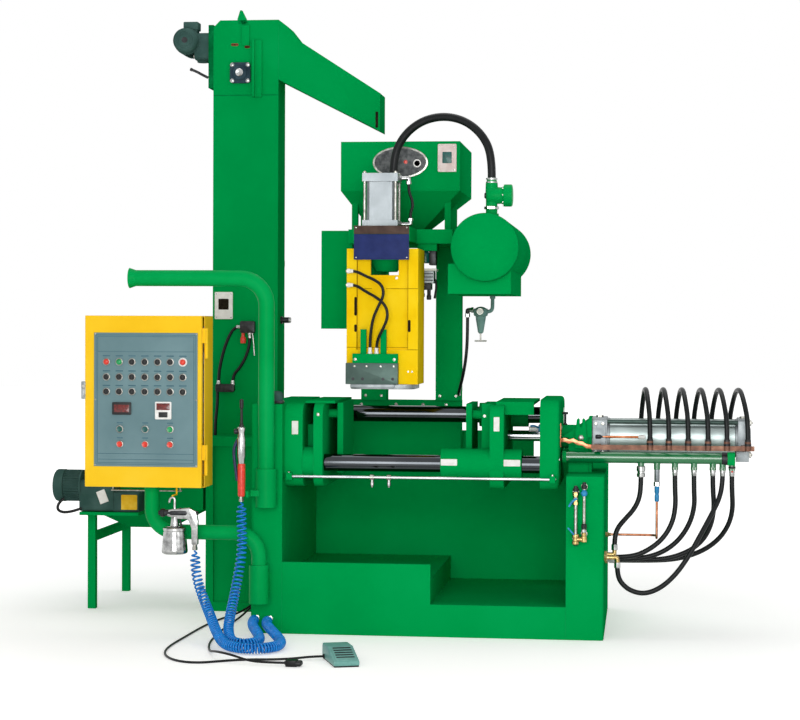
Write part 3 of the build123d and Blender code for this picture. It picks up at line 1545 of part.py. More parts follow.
def rigid_nodes():
    return {
        "left_pedestal": left_pedestal(), "right_pedestal": right_pedestal(), "front_sill": front_sill(),
        "sand_tray": sand_tray(), "rear_box": rear_box(),
        "left_end_plate": left_end_plate(), "fixed_platen": fixed_platen(),
        "fixed_heat_plate": fixed_heat_plate(), "tie_bars": tie_bars(), "moving_platen": moving_platen(),
        "moving_heat_plate": moving_heat_plate(), "piston_rod": piston_rod(),
        "right_end_plate": right_end_plate(), "cylinder_mount": cylinder_mount(),
        "cylinder_heads": cylinder_heads(), "cylinder_barrel": cylinder_barrel(),
        "manifolds": pile([front_manifold(), rear_manifold()]), "hose_rail": hose_rail(),
        "base_fittings": base_fittings(), "clamp_fittings": clamp_fittings(),
        "columns": pile([column(left_column_x), column(right_column_x)]), "top_beam": top_beam(),
        "side_box": side_box(), "sign_plate": sign_plate(), "shoot_valves": shoot_valves(),
        "press_cylinder": press_cylinder(),
        "head_frame": head_frame(), "sand_funnel": sand_funnel(), "blow_plates": blow_plates(),
        "clamp_bracket": clamp_bracket(),
        "press_rod": press_rod(),
        "sand_hopper": sand_hopper(), "hopper_fittings": pile([sight_glass(), hopper_switch()]),
        "tank_shell": tank_shell(), "tank_ends": pile([front_tank_end(), rear_tank_end()]),
        "tank_saddle": tank_saddle(), "tank_valve": tank_valve(),
        "air_fittings": pile([regulator(), blow_stub()] + press_elbows()),
        "elevator_casing": elevator_casing(), "elevator_chute": elevator_chute(),
        "elevator_motor": elevator_motor(), "elevator_fittings": elevator_fittings(),
        "feeder_hopper": feeder_hopper(), "feeder_drive": feeder_drive(),
        "control_box": control_box(), "box_door": box_door(), "door_panel": door_panel(),
        "arm_pipe": arm_pipe(), "pipe_sockets": pile([arm_socket(), boom_socket()]), "boom_pipe": boom_pipe(),
        "guns": pile([spray_gun(), air_gun()]), "post_fittings": post_fittings(),
    }


def cord_nodes():
    return {"tank_hoses": pile([blow_hose(), regulator_hose(), press_hose()]),
            "elevator_hoses": pile(valve_hoses()),
            "clamp_hoses": pile(arch_hoses() + drop_hoses()),
            "head_hoses": pile(hose(route, head_hose_dia) for route in head_hose_routes),
            "gun_coils": pile(hose(route, coil_dia) for route in coil_routes),
            "floor_cables": pile(hose(route, cable_dia) for route in cable_routes),
            "foot_pedal": foot_pedal(), "cable_plug": cable_plug()}


def to_origin(shapes):
    boxes = [shape.bounding_box() for shape in shapes]
    mid_x = (min(box.min.X for box in boxes) + max(box.max.X for box in boxes)) / 2
    mid_y = (min(box.min.Y for box in boxes) + max(box.max.Y for box in boxes)) / 2
    return Pos(-mid_x, -mid_y, -min(box.min.Z for box in boxes))


def main():
    os.makedirs("parts", exist_ok=True)
    rigid = rigid_nodes()
    shift = to_origin(rigid.values())
    print("origin shift", shift.position)
    for name, shape in {**rigid, **cord_nodes()}.items():
        export_step(shift * shape, f"parts/{name}.step")


if __name__ == "__main__":
    main()
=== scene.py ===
import math

import bmesh
import bpy
from mathutils import Matrix, Vector


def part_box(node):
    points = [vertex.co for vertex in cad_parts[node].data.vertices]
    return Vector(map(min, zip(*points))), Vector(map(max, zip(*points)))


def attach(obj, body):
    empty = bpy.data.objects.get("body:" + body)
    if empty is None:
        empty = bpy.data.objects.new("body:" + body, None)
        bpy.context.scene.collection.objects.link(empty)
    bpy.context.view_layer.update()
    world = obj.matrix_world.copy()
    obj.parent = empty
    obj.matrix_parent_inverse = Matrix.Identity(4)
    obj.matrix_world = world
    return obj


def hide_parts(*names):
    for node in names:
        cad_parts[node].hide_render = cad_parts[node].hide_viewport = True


# hot-box core shooting machine: looks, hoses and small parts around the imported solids
# places start at the machine's own zero: X at the step of the tray, Y at the front of the base
# routes are in metres, small parts in millimetres
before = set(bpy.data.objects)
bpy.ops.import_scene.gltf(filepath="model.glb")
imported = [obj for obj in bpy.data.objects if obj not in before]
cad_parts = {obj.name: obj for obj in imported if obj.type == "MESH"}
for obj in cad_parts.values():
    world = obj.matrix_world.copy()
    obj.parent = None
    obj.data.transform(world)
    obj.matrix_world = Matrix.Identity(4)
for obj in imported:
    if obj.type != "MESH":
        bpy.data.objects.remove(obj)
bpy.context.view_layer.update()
baseLeft = -0.730
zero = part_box("left_pedestal")[0] - Vector((baseLeft, 0.0, 0.0))
print("frame loaded,", len(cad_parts), "nodes")


def hexColour(code):
    channels = [int(code[i:i + 2], 16) / 255 for i in (1, 3, 5)]
    return tuple(c / 12.92 if c <= 0.04045 else ((c + 0.055) / 1.055) ** 2.4 for c in channels) + (1.0,)


def perMm(size):
    return 1000.0 / size  # texture scale in metres for a feature of that many millimetres


def addNode(tree, kind, values=None, links=None, **settings):
    node = tree.nodes.new(kind)
    for key, value in settings.items():
        setattr(node, key, value)
    for key, value in (values or {}).items():
        node.inputs[key].default_value = value
    for key, source in (links or {}).items():
        tree.links.new(source, node.inputs[key])
    return node


def setRamp(node, stops):
    ramp = node.color_ramp
    while len(ramp.elements) < len(stops):
        ramp.elements.new(0.5)
    for element, (place, colour) in zip(ramp.elements, stops):
        element.position = place
        element.color = hexColour(colour) if isinstance(colour, str) else (colour, colour, colour, 1.0)


def startMaterial(name):
    material = bpy.data.materials.new(name)
    material.use_nodes = True
    tree = material.node_tree
    tree.nodes.clear()
    where = addNode(tree, "ShaderNodeTexCoord").outputs["Object"]
    surface = addNode(tree, "ShaderNodeBsdfPrincipled")
    addNode(tree, "ShaderNodeOutputMaterial", links={"Surface": surface.outputs[0]})
    return material, tree, where, surface


# sprayed enamel on welded sheet: even gloss, a little orange peel, slow clouds of tone, and paler paint along
# the edges as a painted highlight, broken into blotches
def enamel(name, look):
    material, tree, where, surface = startMaterial(name)
    cloud = addNode(tree, "ShaderNodeTexNoise", {"Scale": perMm(look["cloudMm"]), "Detail": 4.0},
                    {"Vector": where})
    tone = addNode(tree, "ShaderNodeValToRGB", links={"Fac": cloud.outputs["Fac"]})
    setRamp(tone, [(0.30, look["dark"]), (0.50, look["colour"]), (0.72, look["light"])])
    rounded = addNode(tree, "ShaderNodeBevel", {"Radius": look["edge"]}, samples=4)
    flat = addNode(tree, "ShaderNodeNewGeometry")
    turn = addNode(tree, "ShaderNodeVectorMath", links={0: rounded.outputs[0], 1: flat.outputs["Normal"]},
                   operation="DOT_PRODUCT")
    # painted highlight: where the rounded normal leaves the flat one, the edge mask times the blotch noise
    # mixes in the paler rim colour
    rim = addNode(tree, "ShaderNodeMapRange", {"From Min": 0.98, "From Max": 0.72, "To Max": look["edgeHighlight"]},
                  {"Value": turn.outputs["Value"]})
    blotches = addNode(tree, "ShaderNodeTexNoise", {"Scale": perMm(look["blotchMm"]), "Detail": 3.0},
                    {"Vector": where})
    paintedEdgeHighlight = addNode(tree, "ShaderNodeMath", links={0: rim.outputs[0], 1: blotches.outputs["Fac"]},
                   operation="MULTIPLY")
    paint = addNode(tree, "ShaderNodeMix", {7: hexColour(look["rim"])},
                    {0: paintedEdgeHighlight.outputs[0], 6: tone.outputs["Color"]}, data_type="RGBA")
    gloss = addNode(tree, "ShaderNodeMapRange",
                    {"To Min": look["roughness"] - 0.05, "To Max": look["roughness"] + 0.10},
                    {"Value": blotches.outputs["Fac"]})
    peel = addNode(tree, "ShaderNodeTexNoise", {"Scale": perMm(look["peelMm"]), "Detail": 1.0},
                   {"Vector": where})
    bump = addNode(tree, "ShaderNodeBump", {"Strength": 0.12, "Distance": 0.0004},
                   {"Height": peel.outputs["Fac"], "Normal": rounded.outputs[0]})
    tree.links.new(paint.outputs[2], surface.inputs["Base Color"])
    tree.links.new(gloss.outputs[0], surface.inputs["Roughness"])
    tree.links.new(bump.outputs[0], surface.inputs["Normal"])
    surface.inputs["Specular IOR Level"].default_value = look.get("specular", 0.0)
    return material


# bare metal: fine lines left by turning, grinding or drawing, with a dull stain here and there
def bareMetal(name, look):
    material, tree, where, surface = startMaterial(name)
    along = addNode(tree, "ShaderNodeMapping", {"Scale": look["stretch"]}, {"Vector": where})
    lines = addNode(tree, "ShaderNodeTexNoise", {"Scale": perMm(look["lineMm"]), "Detail": 2.0},
                    {"Vector": along.outputs[0]})
    stain = addNode(tree, "ShaderNodeTexNoise", {"Scale": perMm(look["stainMm"]), "Detail": 4.0},
                    {"Vector": where})
    tone = addNode(tree, "ShaderNodeValToRGB", links={"Fac": stain.outputs["Fac"]})
    setRamp(tone, [(0.32, look["dark"]), (0.55, look["colour"]), (0.75, look["light"])])
    drift = look.get("drift", 0.09)
    gloss = addNode(tree, "ShaderNodeMapRange",
                    {"To Min": look["roughness"] - drift, "To Max": look["roughness"] + drift},
                    {"Value": lines.outputs["Fac"]})
    bump = addNode(tree, "ShaderNodeBump", {"Strength": look.get("bump", 0.08), "Distance": 0.0003},
                   {"Height": lines.outputs["Fac"]})
    tree.links.new(tone.outputs["Color"], surface.inputs["Base Color"])
    tree.links.new(gloss.outputs[0], surface.inputs["Roughness"])
    tree.links.new(bump.outputs[0], surface.inputs["Normal"])
    surface.inputs["Metallic"].default_value = look.get("metallic", 1.0)
    return material


# moulded rubber and plastic: fine grain, a slightly cloudy colour
def moulded(name, look):
    material, tree, where, surface = startMaterial(name)
    grain = addNode(tree, "ShaderNodeTexNoise", {"Scale": perMm(look["grainMm"]), "Detail": 2.0},
                    {"Vector": where})
    cloud = addNode(tree, "ShaderNodeTexNoise", {"Scale": perMm(look["cloudMm"]), "Detail": 3.0},
                    {"Vector": where})
    tone = addNode(tree, "ShaderNodeValToRGB", links={"Fac": cloud.outputs["Fac"]})
    setRamp(tone, [(0.35, look["dark"]), (0.65, look["colour"])])
    gloss = addNode(tree, "ShaderNodeMapRange",
                    {"To Min": look["roughness"] - 0.06, "To Max": look["roughness"] + 0.10},
                    {"Value": cloud.outputs["Fac"]})
    bump = addNode(tree, "ShaderNodeBump", {"Strength": look.get("bump", 0.10), "Distance": 0.0003},
                   {"Height": grain.outputs["Fac"]})
    tree.links.new(tone.outputs["Color"], surface.inputs["Base Color"])
    tree.links.new(gloss.outputs[0], surface.inputs["Roughness"])
    tree.links.new(bump.outputs[0], surface.inputs["Normal"])
    surface.inputs["Specular IOR Level"].default_value = look.get("specular", 0.3)
    surface.inputs["Coat Weight"].default_value = look.get("coat", 0.0)
    return material


# green shop enamel over the whole machine, in the photograph bright on the front and deep in the shade
greenEnamel = enamel("greenEnamelSprayedOnWeldedSteel", {
    "colour": "#00984a", "dark": "#009146", "light": "#039d50", "rim": "#35b576", "edgeHighlight": 0.55,
    "edge": 0.0035, "cloudMm": 420, "blotchMm": 24, "peelMm": 2.2, "roughness": 0.36})
# the pipes have the same paint, a little wetter
pipeEnamel = enamel("greenEnamelBrushedOnPipe", {
    "colour": "#009c4c", "dark": "#00954a", "light": "#07a254", "rim": "#35b576", "edgeHighlight": 0.4, "edge": 0.003,
    "cloudMm": 260, "blotchMm": 18, "peelMm": 2.0, "roughness": 0.30, "specular": 0.02})
# the manifolds are glossiest, with a white line along their tops
glossEnamel = enamel("greenEnamelGlossOnManifold", {
    "colour": "#00703a", "dark": "#006a36", "light": "#047a42", "rim": "#35b576", "edgeHighlight": 0.3, "edge": 0.002,
    "cloudMm": 120, "blotchMm": 18, "peelMm": 2.0, "roughness": 0.12, "specular": 0.9})
headYellow = enamel("yellowEnamelOnCastHead", {
    "colour": "#f6cc14", "dark": "#efbd0a", "light": "#fbd524", "rim": "#ffe57e", "edgeHighlight": 0.5, "edge": 0.003,
    "cloudMm": 140, "blotchMm": 14, "peelMm": 2.0, "roughness": 0.34})
boxYellow = enamel("yellowPowderCoatOnSheet", {
    "colour": "#f8c82a", "dark": "#f3c023", "light": "#fad03c", "rim": "#ffe79a", "edgeHighlight": 0.4, "edge": 0.0025,
    "cloudMm": 300, "blotchMm": 20, "peelMm": 1.6, "roughness": 0.42})
motorEnamel = enamel("greyGreenEnamelOnCastMotor", {
    "colour": "#3c5853", "dark": "#33504a", "light": "#48655f", "rim": "#6d8a84", "edgeHighlight": 0.6, "edge": 0.002,
    "cloudMm": 80, "blotchMm": 9, "peelMm": 1.8, "roughness": 0.45})
panelSheet = enamel("greyBlueSilkScreenedSheet", {
    "colour": "#6f8b90", "dark": "#69858a", "light": "#769297", "rim": "#9cb8be", "edgeHighlight": 0.3, "edge": 0.001,
    "cloudMm": 160, "blotchMm": 10, "peelMm": 1.2, "roughness": 0.5})
whiteEnamel = enamel("whiteEnamelPlate", {
    "colour": "#eceae6", "dark": "#dfdcd6", "light": "#f4f3f0", "rim": "#ffffff", "edgeHighlight": 0.2, "edge": 0.0006,
    "cloudMm": 30, "blotchMm": 6, "peelMm": 1.2, "roughness": 0.4})
labelYellow = enamel("yellowEnamelPlate", {
    "colour": "#e8b830", "dark": "#d9a520", "light": "#f0c84a", "rim": "#ffe9a0", "edgeHighlight": 0.3, "edge": 0.0006,
    "cloudMm": 40, "blotchMm": 6, "peelMm": 1.2, "roughness": 0.45})

panelInk = enamel("darkBlueScreenInk", {
    "colour": "#4d6f7b", "dark": "#466874", "light": "#557783", "rim": "#6d8d98", "edgeHighlight": 0.1, "edge": 0.0004,
    "cloudMm": 60, "blotchMm": 8, "peelMm": 1.2, "roughness": 0.5})
# the casting's seams are drawn as thin darker gold lines
seamGold = enamel("yellowEnamelInSeam", {
    "colour": "#a8820a", "dark": "#8f6d06", "light": "#bd961c", "rim": "#d2ac30", "edgeHighlight": 0.2, "edge": 0.0004,
    "cloudMm": 20, "blotchMm": 5, "peelMm": 1.2, "roughness": 0.55})
# painted shade: a near-black sheet laid over slots and hollows that lie in shade; the same near-black is also
# a switch plate's dark window
slotShadeAndDarkWindow = enamel("paintedSlotShadeAndDarkWindow", {
    "colour": "#241f18", "dark": "#191510", "light": "#322b22", "rim": "#3a3228", "edgeHighlight": 0.2, "edge": 0.0004,
    "cloudMm": 12, "blotchMm": 4, "peelMm": 1.0, "roughness": 0.8})
slotRust = enamel("rustBrownPrimerInSlot", {
    "colour": "#7c4a34", "dark": "#623624", "light": "#946049", "rim": "#a8765e", "edgeHighlight": 0.3, "edge": 0.0004,
    "cloudMm": 14, "blotchMm": 4, "peelMm": 1.0, "roughness": 0.7})
deepGreen = enamel("deepGreenEnamel", {
    "colour": "#046c38", "dark": "#035f30", "light": "#0a7a42", "rim": "#188a50", "edgeHighlight": 0.2, "edge": 0.0004,
    "cloudMm": 40, "blotchMm": 5, "peelMm": 1.2, "roughness": 0.5})
pinkPlate = enamel("palePinkEnamelPlate", {
    "colour": "#e6d3cf", "dark": "#dcc6c1", "light": "#efe0dc", "rim": "#f8efed", "edgeHighlight": 0.2, "edge": 0.0006,
    "cloudMm": 30, "blotchMm": 6, "peelMm": 1.2, "roughness": 0.4})
bearingBlue = enamel("slateEnamelOnCastBearing", {
    "colour": "#33454f", "dark": "#2a3a44", "light": "#40535d", "rim": "#637680", "edgeHighlight": 0.6, "edge": 0.002,
    "cloudMm": 40, "blotchMm": 7, "peelMm": 1.6, "roughness": 0.45})
castTeal = enamel("greyTealEnamelOnZincCasting", {
    "colour": "#6f918c", "dark": "#63857f", "light": "#7d9f99", "rim": "#9db8b3", "edgeHighlight": 0.4, "edge": 0.002,
    "cloudMm": 40, "blotchMm": 7, "peelMm": 1.6, "roughness": 0.4})

# hard-chromed tie bars, ground smooth; the base colour is kept dark as a painted reflection of dark
# surroundings, so that only the lamp shows as a bright band
barChrome = bareMetal("hardChromeGroundBarDarkReflection", {
    "colour": "#45484b", "dark": "#3e4144", "light": "#4c4f52", "roughness": 0.08, "drift": 0.02,
    "lineMm": 1.5, "stretch": (60.0, 1.0, 1.0), "stainMm": 160, "bump": 0.005})
rodChrome = bareMetal("hardChromePolishedRod", {
    "colour": "#b9bcbf", "dark": "#9fa2a6", "light": "#cfd1d3", "roughness": 0.14, "lineMm": 1.5,
    "stretch": (60.0, 1.0, 1.0), "stainMm": 120, "bump": 0.02})
# drawn cylinder tubes, clear anodised
anodised = bareMetal("aluminiumClearAnodisedTube", {
    "colour": "#7f8588", "dark": "#757b7e", "light": "#8c9295", "roughness": 0.38, "lineMm": 2.0,
    "stretch": (1.0, 1.0, 0.05), "stainMm": 90, "metallic": 0.75})
drawnTube = bareMetal("aluminiumDrawnBarrel", {
    "colour": "#b7c4c2", "dark": "#a3b0ae", "light": "#cdd6d4", "roughness": 0.40, "lineMm": 2.0,
    "bump": 0.02, "stretch": (0.04, 1.0, 1.0), "stainMm": 110, "metallic": 0.9})
castAlloy = bareMetal("aluminiumSandCast", {
    "colour": "#8f9597", "dark": "#777d80", "light": "#a3a8aa", "roughness": 0.5, "lineMm": 2.4,
    "stretch": (1.0, 1.0, 1.0), "stainMm": 40, "bump": 0.2, "metallic": 0.8})
groundSteel = bareMetal("toolSteelGroundPlate", {
    "colour": "#3b4e48", "dark": "#32443e", "light": "#475a52", "roughness": 0.42, "lineMm": 1.6,
    "stretch": (0.05, 1.0, 1.0), "stainMm": 70, "metallic": 0.65})
zincSteel = bareMetal("zincPlatedSteelTurned", {
    "colour": "#a2a19b", "dark": "#7f7d76", "light": "#b9b8b3", "roughness": 0.30, "lineMm": 1.0,
    "stretch": (1.0, 1.0, 1.0), "stainMm": 14})
polishedSteel = bareMetal("nickelPlatedBrassPolished", {
    "colour": "#afb0af", "dark": "#858685", "light": "#c6c7c6", "roughness": 0.18, "lineMm": 1.0,
    "stretch": (1.0, 1.0, 1.0), "stainMm": 18, "bump": 0.03})
darkSteel = bareMetal("blackOxideSteel", {
    "colour": "#2c2d2f", "dark": "#1d1e20", "light": "#3d3e40", "roughness": 0.42, "lineMm": 1.4,
    "stretch": (1.0, 1.0, 1.0), "stainMm": 20, "metallic": 0.7})
rustBar = bareMetal("rolledSteelBarRustBrown", {
    "colour": "#7a5240", "dark": "#553628", "light": "#a07a62", "roughness": 0.5, "lineMm": 3.0,
    "stretch": (0.1, 1.0, 1.0), "stainMm": 35, "metallic": 0.45, "bump": 0.2})
brass = bareMetal("brassTurned", {
    "colour": "#b9a06a", "dark": "#8d7645", "light": "#d2bd8a", "roughness": 0.3, "lineMm": 1.0,
    "stretch": (1.0, 1.0, 1.0), "stainMm": 16})
copper = bareMetal("copperTubeDrawn", {
    "colour": "#b87a5a", "dark": "#8e5638", "light": "#d79b7c", "roughness": 0.3, "lineMm": 1.5,
    "stretch": (1.0, 1.0, 0.1), "stainMm": 30})

hoseRubber = moulded("blackRubberHoseCloth", {
    "colour": "#121617", "dark": "#0a0d0e", "roughness": 0.36, "grainMm": 2.5, "cloudMm": 30, "bump": 0.25,
    "specular": 0.2})
cableSheath = moulded("blackVinylSheath", {
    "colour": "#101213", "dark": "#090a0b", "roughness": 0.4, "grainMm": 1.5, "cloudMm": 25, "specular": 0.2})
coilPlastic = moulded("bluePolyurethaneTube", {
    "colour": "#0784d8", "dark": "#0272c4", "roughness": 0.24, "grainMm": 3.0, "cloudMm": 30, "bump": 0.03,
    "coat": 0.1})
blackPlastic = moulded("blackAbsMoulded", {
    "colour": "#1e2021", "dark": "#141516", "roughness": 0.42, "grainMm": 1.2, "cloudMm": 18})
whitePlastic = moulded("whiteAbsMoulded", {
    "colour": "#f0efec", "dark": "#e4e2dd", "roughness": 0.4, "grainMm": 1.2, "cloudMm": 18})
redPlastic = moulded("redAbsMoulded", {
    "colour": "#e8412c", "dark": "#cf3222", "roughness": 0.32, "grainMm": 1.2, "cloudMm": 12, "coat": 0.2})
greenPlastic = moulded("greenAbsMoulded", {
    "colour": "#12a35a", "dark": "#0c8a49", "roughness": 0.32, "grainMm": 1.2, "cloudMm": 12, "coat": 0.2})
tealPlastic = moulded("darkTealAbsMoulded", {
    "colour": "#0f5f58", "dark": "#0a4a46", "roughness": 0.3, "grainMm": 1.2, "cloudMm": 12, "coat": 0.2})
bluePlastic = moulded("blueVinylGrip", {
    "colour": "#2f8fc4", "dark": "#2378ab", "roughness": 0.4, "grainMm": 1.2, "cloudMm": 12})
navyPlastic = moulded("navyBlueVinylLever", {
    "colour": "#232c52", "dark": "#181f40", "roughness": 0.36, "grainMm": 1.2, "cloudMm": 14})
displayRed = moulded("redAcrylicDisplay", {
    "colour": "#7a1d18", "dark": "#4c100e", "roughness": 0.15, "grainMm": 2.0, "cloudMm": 9, "bump": 0.0,
    "coat": 0.5})
pedalShell = moulded("tealCastPedalHammered", {
    "colour": "#6fa59d", "dark": "#5f968e", "roughness": 0.38, "grainMm": 3.0, "cloudMm": 22, "bump": 0.3})
signBlue = moulded("blueAcrylicBoard", {
    "colour": "#2b366a", "dark": "#242e5d", "roughness": 0.4, "grainMm": 4.0, "cloudMm": 40, "bump": 0.02,
    "specular": 0.05})
signBrown = moulded("darkBrownAcrylicStrip", {
    "colour": "#57463e", "dark": "#463731", "roughness": 0.4, "grainMm": 4.0, "cloudMm": 40, "bump": 0.02,
    "specular": 0.05})
sightDark = moulded("greyGlassOverSand", {
    "colour": "#6c6f70", "dark": "#474a4c", "roughness": 0.25, "grainMm": 5.0, "cloudMm": 16, "bump": 0.1,
    "specular": 0.05})

# what each solid is painted or made of
nodeFinish = {
    greenEnamel: ["left_pedestal", "right_pedestal", "front_sill", "sand_tray", "rear_box",
                  "left_end_plate", "fixed_platen", "fixed_heat_plate", "moving_platen",
                  "moving_heat_plate", "right_end_plate", "cylinder_mount", "columns", "top_beam",
                  "side_box", "clamp_bracket", "sand_hopper", "sand_funnel", "tank_saddle", "tank_shell",
                  "tank_ends", "elevator_casing", "elevator_chute", "feeder_hopper"],
    pipeEnamel: ["arm_pipe", "pipe_sockets", "boom_pipe"],
    glossEnamel: ["manifolds"],
    headYellow: ["head_frame"],
    boxYellow: ["control_box", "box_door"],
    barChrome: ["tie_bars"],
    rodChrome: ["piston_rod", "press_rod"],
    anodised: ["press_cylinder"],
    drawnTube: ["cylinder_barrel"],
    rustBar: ["hose_rail"],
}
for material, names in nodeFinish.items():
    for name in names:
        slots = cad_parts[name].data.materials
        slots.clear()
        slots.append(material)
print("finishes made")


# hoses and cables: one smooth spline each, on the solids' own routes
def routeCurve(name, points, radius):
    curve = bpy.data.curves.new(name, "CURVE")
    curve.dimensions = "3D"
    curve.resolution_u = 8
    curve.bevel_depth = radius
    curve.bevel_resolution = 5
    curve.use_fill_caps = True
    spline = curve.splines.new("NURBS")
    spline.points.add(len(points) - 1)
    for knot, place in zip(spline.points, points):
        knot.co = (*(Vector(place) + zero), 1.0)
    spline.order_u = 3
    spline.use_endpoint_u = True
    line = bpy.data.objects.new(name, curve)
    bpy.context.scene.collection.objects.link(line)
    return line


def layHose(name, points, hose, node, body="machine"):
    line = routeCurve(name, points, hose["diameter"] / 2)
    line.data.materials.append(hose["finish"])
    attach(line, body)
    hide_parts(node)
    return line


rubberHose = {"finish": hoseRubber, "slot": "hose_rubber", "lay": "hanging"}
airHose = {**rubberHose, "diameter": 0.034, "stiffness": "stiff"}
waterHose = {**rubberHose, "diameter": 0.020, "stiffness": "stiff"}
clampHose = {**rubberHose, "diameter": 0.012, "stiffness": "medium"}
thinHose = {**rubberHose, "diameter": 0.014, "stiffness": "medium"}
floorCable = {**rubberHose, "finish": cableSheath, "diameter": 0.009, "stiffness": "medium", "lay": "loose"}

layHose("blowHose", [
        (0.212, 0.350, 1.858), (0.212, 0.350, 1.954), (0.170, 0.370, 2.041), (0.094, 0.390, 2.102),
        (-0.001, 0.410, 2.123), (-0.096, 0.430, 2.102), (-0.172, 0.450, 2.041), (-0.214, 0.470, 1.954),
        (-0.214, 0.470, 1.857)], airHose, "tank_hoses")
layHose("regulatorHose", [
        (0.085, 0.690, 1.292), (0.085, 0.690, 1.232), (0.083, 0.694, 1.160), (0.076, 0.702, 1.090),
        (0.062, 0.722, 1.022), (0.046, 0.760, 0.970), (0.036, 0.806, 0.943), (0.036, 0.850, 0.943)],
        thinHose, "tank_hoses")
layHose("pressHose", [
        (-0.132, 0.330, 1.831), (-0.132, 0.330, 1.801), (-0.118, 0.330, 1.769), (-0.114, 0.330, 1.739),
        (-0.124, 0.330, 1.715), (-0.124, 0.330, 1.692)], clampHose, "tank_hoses")

# air lines of the valve on the elevator's front
valveRoutes = [
    (0.286, [(-0.925, 0.752, 1.236), (-0.950, 0.752, 1.236), (-0.978, 0.752, 1.190), (-0.998, 0.752, 1.135),
             (-1.012, 0.752, 1.078), (-1.021, 0.752, 1.028), (-1.021, 0.752, 0.984)]),
    (0.245, [(-0.882, 0.752, 1.209), (-0.882, 0.752, 1.165), (-0.897, 0.752, 1.108), (-0.925, 0.752, 1.057),
             (-0.958, 0.752, 1.022), (-0.958, 0.752, 0.984)]),
    (0.191, [(-1.026, 0.752, 0.948), (-1.026, 0.752, 0.906), (-1.030, 0.749, 0.858), (-1.034, 0.744, 0.808),
             (-1.034, 0.744, 0.757)])]
for number, (length, points) in enumerate(valveRoutes):
    layHose(f"valveHose{number}", points, thinHose, "elevator_hoses")

# six arches over the clamp cylinder, from the rear manifold to the rail
archSpan = {"rear": (0.831, 0.900, 0.974, 1.048, 1.120, 1.195),
            "front": (0.869, 0.944, 1.021, 1.100, 1.175, 1.258)}
archPoints = [(0.462, 0.756), (0.462, 0.850), (0.438, 0.935), (0.372, 0.988),
              (0.272, 0.988), (0.198, 0.935), (0.165, 0.862), (0.165, 0.786)]
archShare = (0.0, 0.0, 0.2, 0.4, 0.6, 0.8, 1.0, 1.0)
for number, (rearX, frontX) in enumerate(zip(archSpan["rear"], archSpan["front"])):
    points = [(rearX + (frontX - rearX) * share, y, z) for share, (y, z) in zip(archShare, archPoints)]
    layHose(f"archHose{number}", points, waterHose, "clamp_hoses")

dropRoutes = [
    (0.355, [(0.834, 0.200, 0.668), (0.834, 0.200, 0.606), (0.828, 0.196, 0.550), (0.806, 0.184, 0.506),
             (0.772, 0.166, 0.470), (0.742, 0.148, 0.436), (0.730, 0.140, 0.396), (0.730, 0.140, 0.352)]),
    (0.516, [(0.970, 0.200, 0.668), (0.970, 0.200, 0.596), (0.974, 0.199, 0.526), (0.962, 0.196, 0.456),
             (0.926, 0.190, 0.392), (0.868, 0.184, 0.344), (0.796, 0.180, 0.313), (0.718, 0.180, 0.313)]),
    (0.591, [(1.046, 0.200, 0.668), (1.046, 0.200, 0.596), (1.050, 0.206, 0.520), (1.028, 0.214, 0.442),
             (0.978, 0.220, 0.370), (0.906, 0.222, 0.322), (0.812, 0.220, 0.301), (0.718, 0.220, 0.301)]),
    (0.690, [(1.121, 0.200, 0.668), (1.121, 0.200, 0.596), (1.128, 0.212, 0.520), (1.118, 0.230, 0.446),
             (1.086, 0.248, 0.380), (1.026, 0.258, 0.330), (0.934, 0.262, 0.298), (0.826, 0.260, 0.296),
             (0.718, 0.260, 0.296)]),
    (0.766, [(1.197, 0.200, 0.668), (1.197, 0.200, 0.592), (1.203, 0.218, 0.514), (1.188, 0.246, 0.444),
             (1.148, 0.274, 0.380), (1.080, 0.294, 0.328), (0.980, 0.302, 0.294), (0.850, 0.300, 0.287),
             (0.718, 0.300, 0.287)]),
    (0.804, [(1.160, 0.200, 0.668), (1.160, 0.200, 0.618), (1.148, 0.186, 0.556), (1.114, 0.158, 0.490),
             (1.072, 0.130, 0.414), (1.028, 0.110, 0.334), (0.976, 0.100, 0.258), (0.916, 0.097, 0.202),
             (0.852, 0.097, 0.176), (0.794, 0.098, 0.188), (0.754, 0.100, 0.222), (0.742, 0.100, 0.262),
             (0.742, 0.100, 0.296)])]
for number, (length, points) in enumerate(dropRoutes):
    layHose(f"dropHose{number}", points, waterHose, "clamp_hoses")

headRoutes = [
    (0.441, [(-0.354, 0.170, 1.467), (-0.328, 0.170, 1.467), (-0.292, 0.165, 1.448), (-0.252, 0.160, 1.432),
             (-0.218, 0.157, 1.408), (-0.212, 0.157, 1.366), (-0.236, 0.160, 1.322), (-0.258, 0.166, 1.272),
             (-0.268, 0.176, 1.216), (-0.272, 0.186, 1.172), (-0.272, 0.186, 1.129)]),
    (0.393, [(-0.354, 0.170, 1.410), (-0.328, 0.170, 1.410), (-0.292, 0.162, 1.386), (-0.246, 0.152, 1.362),
             (-0.206, 0.146, 1.332), (-0.192, 0.146, 1.288), (-0.208, 0.150, 1.242), (-0.232, 0.164, 1.202),
             (-0.245, 0.186, 1.168), (-0.245, 0.186, 1.129)])]
for number, (length, points) in enumerate(headRoutes):
    layHose(f"headHose{number}", points, clampHose, "head_hoses", body="shooting_head")

